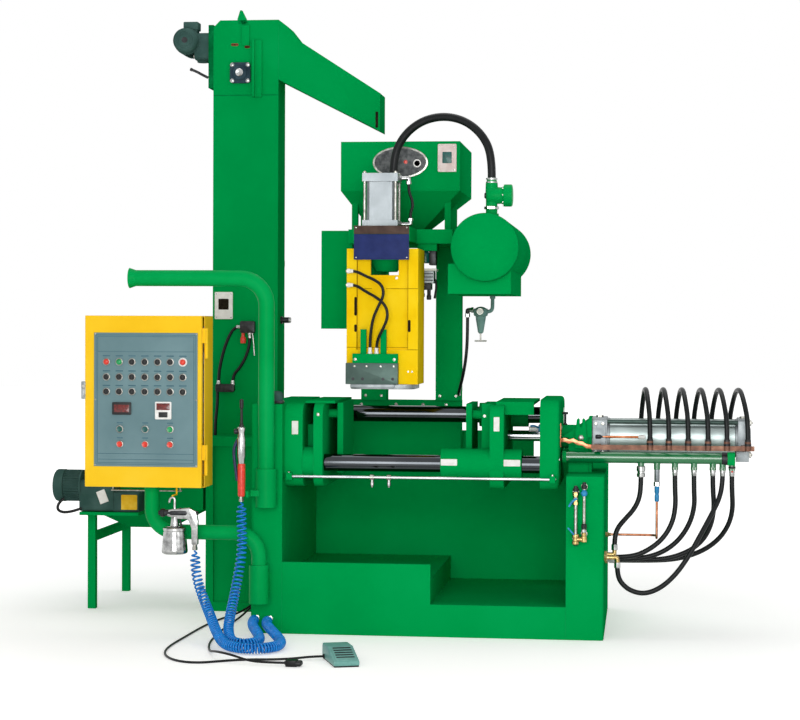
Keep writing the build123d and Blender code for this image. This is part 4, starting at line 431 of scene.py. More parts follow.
layHose("pedalCable", [
        (-0.752, 0.560, 0.060), (-0.792, 0.560, 0.060), (-0.830, 0.548, 0.038), (-0.866, 0.512, 0.014),
        (-0.898, 0.440, 0.005), (-0.922, 0.340, 0.005), (-0.940, 0.224, 0.005), (-0.950, 0.100, 0.005),
        (-0.956, -0.030, 0.005), (-0.960, -0.160, 0.005), (-0.965, -0.290, 0.005), (-0.967, -0.415, 0.005),
        (-0.958, -0.530, 0.005), (-0.932, -0.630, 0.005), (-0.886, -0.716, 0.005), (-0.826, -0.768, 0.005),
        (-0.764, -0.770, 0.005), (-0.712, -0.734, 0.005), (-0.656, -0.696, 0.005), (-0.590, -0.672, 0.005),
        (-0.510, -0.662, 0.005), (-0.436, -0.652, 0.009), (-0.381, -0.634, 0.014), (-0.331, -0.616, 0.014)],
        floorCable, "floor_cables")
layHose("plugCable", [
        (-0.752, 0.440, 0.060), (-0.788, 0.440, 0.060), (-0.820, 0.426, 0.036), (-0.842, 0.380, 0.012),
        (-0.852, 0.290, 0.005), (-0.854, 0.180, 0.005), (-0.853, 0.060, 0.005), (-0.850, -0.070, 0.005),
        (-0.842, -0.200, 0.005), (-0.830, -0.322, 0.005), (-0.808, -0.436, 0.005), (-0.780, -0.536, 0.009),
        (-0.750, -0.622, 0.024), (-0.712, -0.688, 0.032), (-0.656, -0.734, 0.030), (-0.588, -0.766, 0.015),
        (-0.520, -0.779, 0.013), (-0.453, -0.779, 0.013)],
        floorCable, "floor_cables")
print("hoses laid")

# blue spiral hoses of the two guns: a helix along each route's spline, open where it hangs, else closed
spiral = {"tube": 0.0075, "turnRadius": 0.0178, "closePitch": 0.0105, "openPitch": 0.0190, "openAt": 0.30,
          "knotsPerTurn": 12, "tail": 0.030}
coilRoutes = [
    ("sprayCoil", [
        (-0.918, -0.185, 0.352), (-0.918, -0.185, 0.290), (-0.900, -0.206, 0.222), (-0.866, -0.246, 0.160),
        (-0.826, -0.312, 0.106), (-0.786, -0.396, 0.060), (-0.742, -0.476, 0.028), (-0.676, -0.536, 0.024),
        (-0.596, -0.544, 0.024), (-0.540, -0.490, 0.024), (-0.530, -0.404, 0.024), (-0.556, -0.308, 0.028),
        (-0.604, -0.212, 0.044), (-0.650, -0.110, 0.060), (-0.650, -0.030, 0.060)]),
    ("airCoil", [
        (-0.742, -0.135, 0.543), (-0.742, -0.135, 0.472), (-0.736, -0.140, 0.396), (-0.738, -0.154, 0.320),
        (-0.746, -0.180, 0.246), (-0.752, -0.220, 0.176), (-0.756, -0.278, 0.112), (-0.752, -0.346, 0.062),
        (-0.726, -0.412, 0.028), (-0.676, -0.440, 0.024), (-0.634, -0.408, 0.024), (-0.626, -0.336, 0.026),
        (-0.650, -0.250, 0.034), (-0.690, -0.160, 0.052), (-0.704, -0.090, 0.062), (-0.704, -0.030, 0.062)])]


def splinePoints(points):
    line = routeCurve("coilRoute", points, 0.0)
    line.data.resolution_u = 24
    bpy.context.view_layer.update()
    mesh = bpy.data.meshes.new_from_object(line.evaluated_get(bpy.context.evaluated_depsgraph_get()))
    places = [vertex.co - zero for vertex in mesh.vertices]
    bpy.data.objects.remove(line)
    bpy.data.meshes.remove(mesh)
    return places


def windSpiral(points):
    line = splinePoints(points)
    lengths = [0.0]
    for a, b in zip(line, line[1:]):
        lengths.append(lengths[-1] + (b - a).length)
    whole = lengths[-1]
    side = (line[1] - line[0]).normalized().orthogonal().normalized()
    knots = [line[0]]
    run, angle, at = 0.0, 0.0, 0
    while run < whole:
        while at < len(line) - 2 and lengths[at + 1] < run:
            at += 1
        part = (run - lengths[at]) / max(lengths[at + 1] - lengths[at], 1e-9)
        heading = (line[at + 1] - line[at]).normalized()
        side = (side - heading * side.dot(heading)).normalized()
        middle = line[at].lerp(line[at + 1], part)
        reach = min(1.0, run / spiral["tail"], (whole - run) / spiral["tail"])
        outward = Matrix.Rotation(angle, 3, heading) @ side
        if run > 0.0:
            knots.append(middle + outward * spiral["turnRadius"] * max(reach, 0.0))
        opened = max(0.0, min(1.0, middle.z / spiral["openAt"]))
        pitch = spiral["closePitch"] + (spiral["openPitch"] - spiral["closePitch"]) * opened
        run += pitch / spiral["knotsPerTurn"]
        angle += 2 * math.pi / spiral["knotsPerTurn"]
    knots.append(line[-1])
    return knots


for name, points in coilRoutes:
    knots = windSpiral(points)
    coil = routeCurve(name, knots, spiral["tube"] / 2)
    coil.data.resolution_u = 2
    coil.data.bevel_resolution = 2
    coil.data.materials.append(coilPlastic)
    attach(coil, "machine")
    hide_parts("gun_coils")
print("spiral hoses wound")

# small parts: shapes drawn in millimetres from the machine's zero, joined into one mesh for each piece
toMetres = 0.001
facingRight, facingLeft = (1, 0, 0), (-1, 0, 0)
facingFront, facingBack = (0, -1, 0), (0, 1, 0)
facingUp, facingDown = (0, 0, 1), (0, 0, -1)


def finishNumber(piece, finish):
    if finish not in piece["finishes"]:
        piece["finishes"].append(finish)
    return piece["finishes"].index(finish)


def keep(piece, shape, finish, rounding=0.0):
    bmesh.ops.recalc_face_normals(shape, faces=shape.faces)
    if rounding:
        sharp = [edge for edge in shape.edges if edge.calc_face_angle(0.0) > 0.6]
        bmesh.ops.bevel(shape, geom=sharp, offset=rounding, segments=2, profile=0.6, affect="EDGES",
                        clamp_overlap=True)
    number = finishNumber(piece, finish)
    for face in shape.faces:
        face.material_index = number
        face.smooth = True
    bmesh.ops.scale(shape, vec=Vector((1, 1, 1)) * toMetres, verts=shape.verts)
    part = bpy.data.meshes.new("part")
    shape.to_mesh(part)
    shape.free()
    piece["mesh"].from_mesh(part)
    bpy.data.meshes.remove(part)


def block(piece, finish, low, high, rounding=2.0):
    shape = bmesh.new()
    bmesh.ops.create_cube(shape, size=1.0)
    for vertex in shape.verts:
        vertex.co = [(a + b) / 2 + share * (b - a) for a, b, share in zip(low, high, vertex.co)]
    keep(piece, shape, finish, rounding)


# a turned part: rings of (reach, radius) along one direction
def turned(piece, finish, start, along, profile, sides=20):
    shape = bmesh.new()
    turn = Vector(along).to_track_quat("Z", "Y").to_matrix()
    rings = []
    for reach, radius in profile:
        angles = [2 * math.pi * step / sides for step in range(sides)]
        rings.append([shape.verts.new(Vector(start) + turn @ Vector((radius * math.cos(angle),
                                                                      radius * math.sin(angle), reach)))
                      for angle in angles])
    for lower, upper in zip(rings, rings[1:]):
        for step in range(sides):
            shape.faces.new((lower[step - 1], lower[step], upper[step], upper[step - 1]))
    shape.faces.new(rings[0])
    shape.faces.new(rings[-1])
    keep(piece, shape, finish)


# a flat part cut from plate: the outline lies in the two other directions
def plate(piece, finish, across, outline, low, high, rounding=1.5):
    shape = bmesh.new()
    turns = {"x": lambda a, b, deep: (deep, a, b), "y": lambda a, b, deep: (a, deep, b),
             "z": lambda a, b, deep: (a, b, deep)}
    near = [shape.verts.new(turns[across](a, b, low)) for a, b in outline]
    far = [shape.verts.new(turns[across](a, b, high)) for a, b in outline]
    shape.faces.new(near)
    shape.faces.new(far)
    for step in range(len(outline)):
        shape.faces.new((near[step - 1], near[step], far[step], far[step - 1]))
    keep(piece, shape, finish, rounding)


# a bent rod or pipe along a smooth line
def tube(piece, finish, points, radius):
    line = routeCurve("bentPart", [Vector(point) * toMetres for point in points], radius * toMetres)
    bpy.context.view_layer.update()
    part = bpy.data.meshes.new_from_object(line.evaluated_get(bpy.context.evaluated_depsgraph_get()))
    part.transform(Matrix.Translation(-zero))
    bpy.data.objects.remove(line)
    number = finishNumber(piece, finish)
    for face in part.polygons:
        face.material_index = number
        face.use_smooth = True
    piece["mesh"].from_mesh(part)
    bpy.data.meshes.remove(part)


def roundOutline(centre, radii, steps=28):
    return [(centre[0] + radii[0] * math.cos(2 * math.pi * step / steps),
             centre[1] + radii[1] * math.sin(2 * math.pi * step / steps)) for step in range(steps)]


def cornerOutline(low, high, corner, steps=4):
    outline = []
    for quarter, (x, z) in enumerate(((high[0] - corner, high[1] - corner),
                                      (low[0] + corner, high[1] - corner),
                                      (low[0] + corner, low[1] + corner),
                                      (high[0] - corner, low[1] + corner))):
        for step in range(steps + 1):
            angle = math.pi / 2 * (quarter + step / steps)
            outline.append((x + corner * math.cos(angle), z + corner * math.sin(angle)))
    return outline


def slotOutline(x, low, high, width):
    return cornerOutline((x - width / 2, low), (x + width / 2, high), width / 2 - 0.01)


def pieceObject(piece, name):
    mesh = bpy.data.meshes.new(name)
    piece["mesh"].to_mesh(mesh)
    piece["mesh"].free()
    for finish in piece["finishes"]:
        mesh.materials.append(finish)
    mesh.set_sharp_from_angle(angle=math.radians(32))
    thing = bpy.data.objects.new(name, mesh)
    bpy.context.scene.collection.objects.link(thing)
    return thing


def turnPiece(piece, degrees, place):
    bmesh.ops.rotate(piece["mesh"], cent=(0, 0, 0), matrix=Matrix.Rotation(math.radians(degrees), 3, "Z"),
                     verts=piece["mesh"].verts)
    bmesh.ops.translate(piece["mesh"], vec=Vector(place) * toMetres, verts=piece["mesh"].verts)


# each row is a shape's function and what it takes: finish, place and size
def drawRows(rows):
    piece = {"mesh": bmesh.new(), "finishes": []}
    for shape, finish, *values in rows:
        shape(piece, finish, *values)
    return piece


def makePiece(name, body, slot, rows, *replaced, turn=None):
    piece = drawRows(rows)
    if turn:
        turnPiece(piece, *turn)
    bmesh.ops.translate(piece["mesh"], vec=zero, verts=piece["mesh"].verts)
    thing = pieceObject(piece, name)
    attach(thing, body)
    if replaced:
        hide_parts(*replaced)


# one tree sets a part on every point that it is given, turned to face the way the point says
spreadTree = bpy.data.node_groups.new("spreadPart", "GeometryNodeTree")
for label, kind in (("Places", "NodeSocketGeometry"), ("Part", "NodeSocketObject"),
                    ("Finish", "NodeSocketMaterial")):
    spreadTree.interface.new_socket(label, in_out="INPUT", socket_type=kind)
spreadTree.interface.new_socket("Result", in_out="OUTPUT", socket_type="NodeSocketGeometry")
given = addNode(spreadTree, "NodeGroupInput")
partInfo = addNode(spreadTree, "GeometryNodeObjectInfo", {"As Instance": True},
                   {"Object": given.outputs["Part"]})
facingRead = addNode(spreadTree, "GeometryNodeInputNamedAttribute", {"Name": "facing"},
                     data_type="FLOAT_VECTOR")
sizeRead = addNode(spreadTree, "GeometryNodeInputNamedAttribute", {"Name": "size"}, data_type="FLOAT")
aligned = addNode(spreadTree, "FunctionNodeAlignRotationToVector", axis="Z",
                  links={"Vector": facingRead.outputs["Attribute"]})
setOut = addNode(spreadTree, "GeometryNodeInstanceOnPoints", links={
    "Points": given.outputs["Places"], "Instance": partInfo.outputs["Geometry"],
    "Rotation": aligned.outputs["Rotation"], "Scale": sizeRead.outputs["Attribute"]})
real = addNode(spreadTree, "GeometryNodeRealizeInstances", links={"Geometry": setOut.outputs["Instances"]})
painted = addNode(spreadTree, "GeometryNodeSetMaterial", links={
    "Geometry": real.outputs["Geometry"], "Material": given.outputs["Finish"]})
addNode(spreadTree, "NodeGroupOutput", links={"Result": painted.outputs["Geometry"]})
spreadInputs = {item.name: item.identifier for item in spreadTree.interface.items_tree
                if item.in_out == "INPUT"}


def spread(name, part, finish, places, body="machine"):
    cloud = bpy.data.meshes.new(name)
    cloud.from_pydata([Vector(point) * toMetres + zero for point, facing, size in places], [], [])
    cloud.attributes.new("facing", "FLOAT_VECTOR", "POINT")
    cloud.attributes.new("size", "FLOAT", "POINT")
    for row, (point, facing, size) in enumerate(places):
        cloud.attributes["facing"].data[row].vector = facing
        cloud.attributes["size"].data[row].value = size
    holder = bpy.data.objects.new(name, cloud)
    bpy.context.scene.collection.objects.link(holder)
    modifier = holder.modifiers.new("spreadPart", "NODES")
    modifier.node_group = spreadTree
    modifier[spreadInputs["Part"]] = parts[part]
    modifier[spreadInputs["Finish"]] = finish
    bpy.context.view_layer.update()
    made = bpy.data.meshes.new_from_object(holder.evaluated_get(bpy.context.evaluated_depsgraph_get()))
    holder.modifiers.remove(modifier)
    holder.data = made
    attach(holder, body)


# parts to spread, each drawn once for size 1 at the zero, facing up
origin = (0, 0, 0)
partRows = {
    "hexHead": [
        (turned, zincSteel, origin, facingUp, [(0, 10.6), (1.6, 10.6), (2, 10.0)], 16),
        (turned, zincSteel, origin, facingUp, [(1.6, 9.0), (6.4, 9.0), (7.6, 7.4), (7.8, 6.6)], 6)],
    "socketHead": [
        (turned, zincSteel, origin, facingUp, [(0, 8.0), (8.2, 8.0), (9.4, 7.0), (9.5, 4.4), (5.0, 4.2)],
         14)],
    "panHead": [
        (turned, zincSteel, origin, facingUp, [(0, 5.4), (1.4, 5.2), (2.6, 4.2), (3.2, 2.2), (3.3, 0.6)],
         12)],
    "nutStud": [
        (turned, zincSteel, origin, facingUp, [(0, 13.0), (1.8, 13.0), (2, 12.4)], 16),
        (turned, zincSteel, origin, facingUp, [(1.8, 11.4), (8.6, 11.4), (10.0, 9.6)], 6),
        (turned, zincSteel, origin, facingUp, [(9.0, 5.4), (13.4, 5.4), (14.4, 4.2)], 12)],
    "switchRing": [
        (turned, zincSteel, origin, facingUp, [(0, 15.4), (2.4, 15.4), (4.2, 14.0), (4.4, 12.2), (1.6, 11.6)],
         24)],
    "selectorKnob": [
        (turned, zincSteel, origin, facingUp, [(1.4, 11.4), (5.4, 11.4), (6.6, 10.2), (6.8, 8.0)]),
        (block, zincSteel, (-3.6, -10.4, 5.0), (3.6, 10.4, 13.4), 1.6)],
    "lampCap": [
        (turned, zincSteel, origin, facingUp, [(1.4, 11.6), (6.0, 11.4), (9.0, 9.6), (11.0, 6.0),
                                               (11.6, 1.0)])],
    "pushCap": [
        (turned, zincSteel, origin, facingUp, [(1.4, 11.4), (8.6, 11.4), (10.2, 10.2), (9.4, 7.0),
                                               (9.2, 1.0)])],
    "motorFin": [
        (block, zincSteel, (-1.0, -54.0, 0.0), (1.0, 54.0, 8.0), 0.5)],
    "driveFin": [
        (block, zincSteel, (-34.0, -1.0, 0.0), (34.0, 1.0, 7.5), 0.5)],
    "hoseFerrule": [
        (turned, zincSteel, origin, facingUp, [(0, 13.6), (9.0, 13.6), (9.6, 12.2), (24.0, 12.2),
                                               (26.0, 11.0), (26.2, 10.4)], 18)],
    "relay": [
        (block, blackPlastic, (-21, -34, 0), (21, 34, 42), 2.0),
        (block, blackPlastic, (-17, -18, 40), (17, 18, 58), 3.0),
        *[(block, blackPlastic, (step - 4.5, end * 27 - 5, 40), (step + 4.5, end * 27 + 5, 46), 1.0)
          for step in (-13, 0, 13) for end in (-1, 1)]],
    "terminal": [
        (block, whitePlastic, (-4.2, -23, 0), (4.2, 23, 26), 1.0),
        (block, whitePlastic, (-3.4, -12, 24), (3.4, 12, 38), 1.0)],
}
parts = {name: pieceObject(drawRows(rows), name) for name, rows in partRows.items()}
print("screws, nuts and switch parts drawn")

# control panel: silk-screened sheet with bare legend strips, two displays, selectors, lamps and push buttons
panel = {"left": -1331, "right": -911, "low": 680, "high": 1212, "back": -177, "face": -180, "line": 1.6,
         "frames": (9, 15), "rules": (1137, 731, 708), "legend": (15, 2.2), "legendLift": 24,
         "columns": (-1280, -1228, -1176, -1124, -1072, -1021, -970), "rows": (1096, 1036, 978),
         "buttonColumns": (-1225, -1122, -1021), "buttonRows": (829, 769), "buttonLegend": (12, 23, 27),
         "ink": (-0.5, 0.6), "screwInset": 5, "screwRows": (685, 946, 1207)}


def inkStrip(x0, x1, z0, z1):
    proud, sunk = panel["ink"]
    return block, panelInk, (x0, panel["face"] + proud, z0), (x1, panel["face"] + sunk, z1), 0.0


panelRows = [(block, panelSheet, (panel["left"], panel["face"], panel["low"]),
              (panel["right"], panel["back"], panel["high"]), 1.0)]
halfLine = panel["line"] / 2
for inset in panel["frames"]:
    x0, x1 = panel["left"] + inset, panel["right"] - inset
    z0, z1 = panel["low"] + inset, panel["high"] - inset
    panelRows += [inkStrip(x0, x1, z - halfLine, z + halfLine) for z in (z0, z1)]
    panelRows += [inkStrip(x - halfLine, x + halfLine, z0, z1) for x in (x0, x1)]
panelRows += [inkStrip(x0, x1, z - halfLine, z + halfLine) for z in panel["rules"]]
wide, thick = panel["legend"]
lift = panel["legendLift"]
panelRows += [inkStrip(x - wide, x + wide, z + lift - thick, z + lift + thick)
              for z in panel["rows"] for x in panel["columns"]]
wide, low, high = panel["buttonLegend"]
panelRows += [inkStrip(x - wide, x + wide, z + low, z + high)
              for z in panel["buttonRows"] for x in panel["buttonColumns"]]
panelRows += [
    (plate, blackPlastic, "y", cornerOutline((-1255, 886), (-1178, 936), 4), -188, -180, 1.2),
    (plate, displayRed, "y", cornerOutline((-1247, 896), (-1186, 926), 2), -188.6, -187, 0.3),
    (plate, whitePlastic, "y", cornerOutline((-1081, 869), (-1015, 939), 4), -187, -180, 1.2),
    (plate, displayRed, "y", cornerOutline((-1075, 906), (-1021, 933), 2), -187.8, -186, 0.3),
    (plate, blackPlastic, "y", cornerOutline((-1066, 877), (-1030, 898), 2), -187.8, -186, 0.3)]
makePiece("switchPanel", "panel_door", "panel_grey", panelRows, "door_panel")

lampPlaces = [(panel["columns"][0], panel["rows"][0]), (panel["columns"][1], panel["rows"][0])]
stopPlace = (panel["columns"][6], panel["rows"][0])
gridPlaces = [(x, z) for z in panel["rows"] for x in panel["columns"]]
knobPlaces = [place for place in gridPlaces if place not in lampPlaces + [stopPlace]]
topRow, lowRow = [[(x, z) for x in panel["buttonColumns"]] for z in panel["buttonRows"]]
screwPlaces = [(x, z) for x in (panel["left"] + panel["screwInset"], panel["right"] - panel["screwInset"])
               for z in panel["screwRows"]]
# name, part, finish, places and size of what stands on the panel
panelParts = [
    ("switchRings", "switchRing", zincSteel, [place for place in gridPlaces if place != stopPlace] + topRow
     + lowRow, 1.0),
    ("stopRing", "switchRing", whitePlastic, [stopPlace], 1.15),
    ("selectorKnobs", "selectorKnob", blackPlastic, knobPlaces, 1.0),
    ("redCaps", "pushCap", redPlastic, lowRow, 1.0),
    ("redLamps", "lampCap", redPlastic, [lampPlaces[0], stopPlace], 1.0),
    ("greenLamps", "lampCap", greenPlastic, [lampPlaces[1]], 1.0),
    ("tealCaps", "pushCap", tealPlastic, topRow[:2], 1.0),
    ("greenCaps", "pushCap", greenPlastic, topRow[2:], 1.0),
    ("panelScrews", "panHead", zincSteel, screwPlaces, 0.6)]
for name, part, finish, places, size in panelParts:
    spread(name, part, finish, [((x, panel["face"], z), facingFront, size) for x, z in places], "panel_door")

makePiece("doorLatch", "panel_door", "panel_grey", [
    (block, castAlloy, (-1384, -179, 947), (-1366, -156, 1017), 3.0),
    (turned, zincSteel, (-1374, -179, 998), facingFront, [(0, 7), (2, 7), (3, 6), (3.2, 1)]),
    (block, castAlloy, (-1380, -188, 955), (-1370, -178, 990), 2.5),
])
# electrics behind the door: mounting plate, ducts, relays, terminals, contact blocks behind the switches
inside = {"plate": (-1340, -916, 640, 1240), "back": -3, "face": -6, "ducts": (660, 800, 930, 1080, 1220)}
left, right, low, high = inside["plate"]
makePiece("boxInside", "machine", "panel_grey", [
    (block, zincSteel, (left, inside["face"], low), (right, inside["back"], high), 0.8),
    *[(block, castTeal, (left + 12, -46, z - 18), (right - 12, inside["face"], z + 18), 2.0)
      for z in inside["ducts"]],
    *[(block, zincSteel, (left + 20, -14, z - 17), (right - 20, inside["face"], z + 17), 1.5)
      for z in (732, 864, 1005, 1150)],
    (plate, blackPlastic, "y", cornerOutline((-1310, 1110), (-1210, 1190), 6), -78, -13, 3.0),
    (plate, redPlastic, "y", cornerOutline((-1270, 1136), (-1250, 1164), 4), -92, -77, 2.0),
])
spread("relays", "relay", blackPlastic,
       [((x, -14, 1150), facingFront, 0.95) for x in (-1170, -1116, -1062, -1008, -954)]
       + [((x, -14, 1005), facingFront, 0.95) for x in range(-1290, -930, 54)], "machine")
spread("terminals", "terminal", whitePlastic,
       [((-1300 + 9 * step, -14, z), facingFront, 1.0) for step in range(40) for z in (732, 864)],
       "machine")
spread("contactBlocks", "relay", blackPlastic,
       [((x, -155.5, z), facingBack, 0.5) for x, z in gridPlaces + topRow + lowRow], "panel_door")
print("control panel dressed")

# spray gun with its paint cup, and the air gun; each hangs by the machine and ends in its spiral hose
sprayPlace = {"x": -1000, "y": -185, "cupLow": 336, "bodyZ": 499, "gripX": -918}
airPlace = {"x": -742, "y": -135, "low": 543}
makePiece("gunSet", "machine", "tool_steel", [
    (turned, polishedSteel, (sprayPlace["x"], sprayPlace["y"], sprayPlace["cupLow"]), facingUp,
     [(0, 28), (1, 44), (5, 50), (11, 52), (18, 51.6), (86, 45), (92, 43), (94, 46), (104, 46), (108, 40),
      (112, 18), (146, 14)], 32),
    (turned, darkSteel, (-1066, -185, sprayPlace["bodyZ"]), facingRight,
     [(0, 5), (1, 9), (9, 10), (10, 16), (24, 17), (26, 13), (40, 12), (56, 15), (112, 15), (120, 11),
      (138, 10), (139, 8), (161, 7)], 24),
    (plate, polishedSteel, "y", [(-1024, 512), (-1030, 486), (-986, 476), (-946, 474), (-931, 440),
                                 (-931, 374), (-905, 374), (-905, 470), (-912, 506), (-940, 520)], -197, -173,
                                 5.0),
    (tube, darkSteel, [(-976, -185, 520), (-982, -185, 482), (-972, -185, 446), (-958, -185, 416)], 4.0),
    (tube, polishedSteel, [(-1000, -185, 514), (-1000, -185, 540), (-1000, -185, 556), (-1010, -185, 561),
                           (-1020, -185, 554), (-1022, -185, 540)], 5.0),
    (turned, zincSteel, (sprayPlace["gripX"], -185, 352), facingUp,
     [(0, 7), (0.5, 10.5), (13, 10.5), (14, 9), (24, 9)], 6),
    (turned, zincSteel, (airPlace["x"], airPlace["y"], airPlace["low"]), facingUp,
     [(0, 7), (0.5, 10.5), (11, 10.5), (12, 8), (24, 8)], 6),
    (turned, redPlastic, (airPlace["x"], airPlace["y"], 563), facingUp,
     [(0, 11), (4, 14), (40, 15), (90, 15.5), (126, 15), (132, 13)]),
    (turned, polishedSteel, (airPlace["x"], airPlace["y"], 692), facingUp,
     [(0, 12), (5, 15), (24, 16), (30, 18), (96, 18), (108, 15), (126, 14), (134, 17), (144, 17), (148, 11)],
     24),
    (turned, blackPlastic, (airPlace["x"], airPlace["y"], 838), facingUp,
     [(0, 10), (10, 9.5), (14, 6), (74, 5), (78, 8), (108, 8), (112, 5), (113, 2)]),
    (turned, darkSteel, (airPlace["x"] - 14, airPlace["y"], 822), facingLeft,
     [(0, 9), (6, 11), (13, 11), (16, 8)]),
    (tube, navyPlastic, [(-757, -135, 790), (-768, -135, 768), (-774, -135, 742), (-768, -135, 690),
                         (-759, -135, 626)], 6.5),
    (turned, zincSteel, (-1288, -75, 577), facingRight, [(0, 2), (1, 3), (291, 3), (292, 2)], 12),
    *[(turned, zincSteel, (x, -75, 576), facingUp, [(0, 2.6), (22.5, 2.6)], 10) for x in (-1280, -1004)],
], "guns")
print("guns made")

# clamp cylinder: cast heads, tie rods with nuts, ports on top
cylinder = {"y": 330, "z": 792, "half": 82, "reach": 65, "rod": 9, "left": 634, "barrel": 696, "tail": 1222,
            "end": 1267}
tieRodPlaces = [(cylinder["y"] + a * cylinder["reach"], cylinder["z"] + b * cylinder["reach"])
                for a in (-1, 1) for b in (-1, 1)]
makePiece("clampHeads", "machine", "grey_aluminium", [
    *[row for x0, x1 in ((cylinder["left"], cylinder["barrel"]), (cylinder["tail"], cylinder["end"]))
      for row in (
        (plate, castAlloy, "x", cornerOutline((cylinder["y"] - cylinder["half"],
                                               cylinder["z"] - cylinder["half"]),
                                               (cylinder["y"] + cylinder["half"], cylinder["z"]
                                                + cylinder["half"]), 14), x0, x1, 3.0),
        (turned, zincSteel, ((x0 + x1) / 2, cylinder["y"] - 30, cylinder["z"] + cylinder["half"] - 2),
         facingUp, [(0, 15), (9, 15), (10, 13)], 6))],
    *[(turned, groundSteel, (cylinder["barrel"] - 2, y, z), facingRight,
       [(0, cylinder["rod"]), (cylinder["tail"] - cylinder["barrel"] + 4, cylinder["rod"])], 16)
       for y, z in tieRodPlaces],
    *[(turned, castAlloy, (x, cylinder["y"], cylinder["z"]), way, [(-3, 79), (9, 79), (11, 76)], 40)
      for x, way in ((cylinder["barrel"], facingRight), (cylinder["tail"], facingLeft))],
    (turned, castAlloy, (cylinder["end"] - 2, cylinder["y"], cylinder["z"]), facingRight,
     [(0, 44), (9, 44), (11, 41), (11, 24), (9, 22)], 32),
    (block, castAlloy, (1214, 232, 700), (1266, 250, 742), 2.0),
    (block, castAlloy, (638, 238, 722), (690, 249, 862), 2.0),
], "cylinder_heads")
spread("tieRodNuts", "nutStud", zincSteel,
       [((cylinder["end"], y, z), facingRight, 1.0) for y, z in tieRodPlaces])
spread("headScrews", "socketHead", zincSteel,
       [((x, 238, z), facingFront, 0.8) for x in (650, 678) for z in (734, 850)])

# forked lug, T bolt, copper strip and strap, and the lever along the cylinder's front
makePiece("clampBits", "machine", "tool_steel", [
    (plate, greenEnamel, "y", [(565, 748), (615, 748), (613, 806), (607, 866), (600, 872), (595, 866),
                               (595, 842), (590, 834), (585, 842), (585, 866), (580, 872), (573, 866),
                               (567, 806)], 217, 235, 2.0),
    (turned, zincSteel, (590, 217, 792), facingFront, [(0, 12), (3, 12), (4, 10), (8, 10), (9, 8)], 6),
    (turned, darkSteel, (522, 330, 838), facingUp, [(0, 9), (6, 9), (7, 5), (54, 5)]),
    (turned, darkSteel, (510, 330, 887), facingRight, [(0, 3.6), (1, 5), (23, 5), (24, 3.6)]),
    (block, copper, (508, 150, 757), (512, 180, 853), 0.8),
    (plate, copper, "y", [(512, 776), (528, 778), (544, 771), (560, 777), (578, 766), (598, 764), (614, 753),
                          (634, 752), (634, 768), (616, 769), (600, 780), (580, 782), (562, 793), (545, 787),
                          (528, 794), (512, 792)], 161, 169, 1.0),
    (turned, zincSteel, (512, 158, 834), facingRight, [(0, 8), (4, 8), (5, 6)], 6),
    (turned, darkSteel, (648, 242, 796), facingRight,
     [(0, 5), (1, 8), (5, 9.5), (20, 9.5), (24, 8), (26, 6), (30, 6)]),
    (turned, copper, (676, 242, 796), facingRight, [(0, 5.4), (148, 5.4)], 14),
    (turned, whitePlastic, (822, 242, 796), facingRight,
     [(0, 7), (2, 8.4), (18, 8.4), (20, 9), (27, 9), (28, 7)]),
    *[(block, zincSteel, (x, 244, 787), (x + 16, 262, 805), 2.0) for x in (656, 832)],
], "clamp_fittings")
print("clamp cylinder dressed")

# couplings where the water hoses leave the manifolds, the rail and the base
water = {"frontY": 200, "rearY": 462, "z": 715, "dropX": (834, 970, 1046, 1121, 1197, 1160), "copperX": 898,
         "nippleLow": 668, "railY": 165, "railTop": 768}
makePiece("waterCouplings", "machine", "brass", [
    *[(turned, zincSteel, (x, water["frontY"], water["nippleLow"]), facingUp,
       [(0, 12), (0.5, 13.4), (12, 13.4), (13, 11.4), (22, 11.4)], 6) for x in water["dropX"]],
    (turned, polishedSteel, (834, water["frontY"], 636), facingUp,
     [(0, 12), (2, 17), (14, 17.5), (16, 15), (24, 15), (26, 18), (44, 18), (46, 14)], 24),
    (turned, anodised, (water["copperX"], water["frontY"], 618), facingUp,
     [(0, 10), (2, 11), (70, 11), (74, 9)]),
    (turned, polishedSteel, (water["copperX"], water["frontY"], 600), facingUp,
     [(0, 9), (1, 13.5), (17, 13.5), (18, 11)], 6),
    (turned, bluePlastic, (water["copperX"], water["frontY"], 538), facingUp,
     [(0, 6), (3, 9), (24, 9.5), (28, 8), (34, 8), (38, 10), (60, 10), (62, 8)]),
    (turned, blackPlastic, (1197, water["frontY"], 676), facingUp, [(0, 14.5), (8, 14.5)], 20),
    (turned, redPlastic, (1197, water["frontY"] - 13, 664), facingFront, [(0, 4), (1.5, 3.6), (2.2, 1)], 12),
    (plate, pipeEnamel, "x", cornerOutline((174, 689), (226, 741), 8), 1178, 1208, 2.0),
    (turned, darkSteel, (1166, water["frontY"], water["z"]), facingLeft, [(-14, 26), (8, 26), (10, 24)], 28),
    *[(turned, pipeEnamel, (515, y, water["z"]), facingRight, [(0, 20), (2, 25), (16, 25), (18, 23)], 28)
      for y in (water["frontY"], water["rearY"])],
])
spread("dropFerrules", "hoseFerrule", polishedSteel,
       [((x, water["frontY"], water["nippleLow"]), facingDown, 0.9) for x in water["dropX"][1:]], "machine")
spread("railFerrules", "hoseFerrule", darkSteel,
       [((x * 1000, water["railY"], water["railTop"]), facingUp, 1.02) for x in archSpan["front"]], "machine")
spread("archFerrules", "hoseFerrule", zincSteel,
       [((x * 1000, water["rearY"], 738), facingUp, 1.0) for x in archSpan["rear"]], "machine")

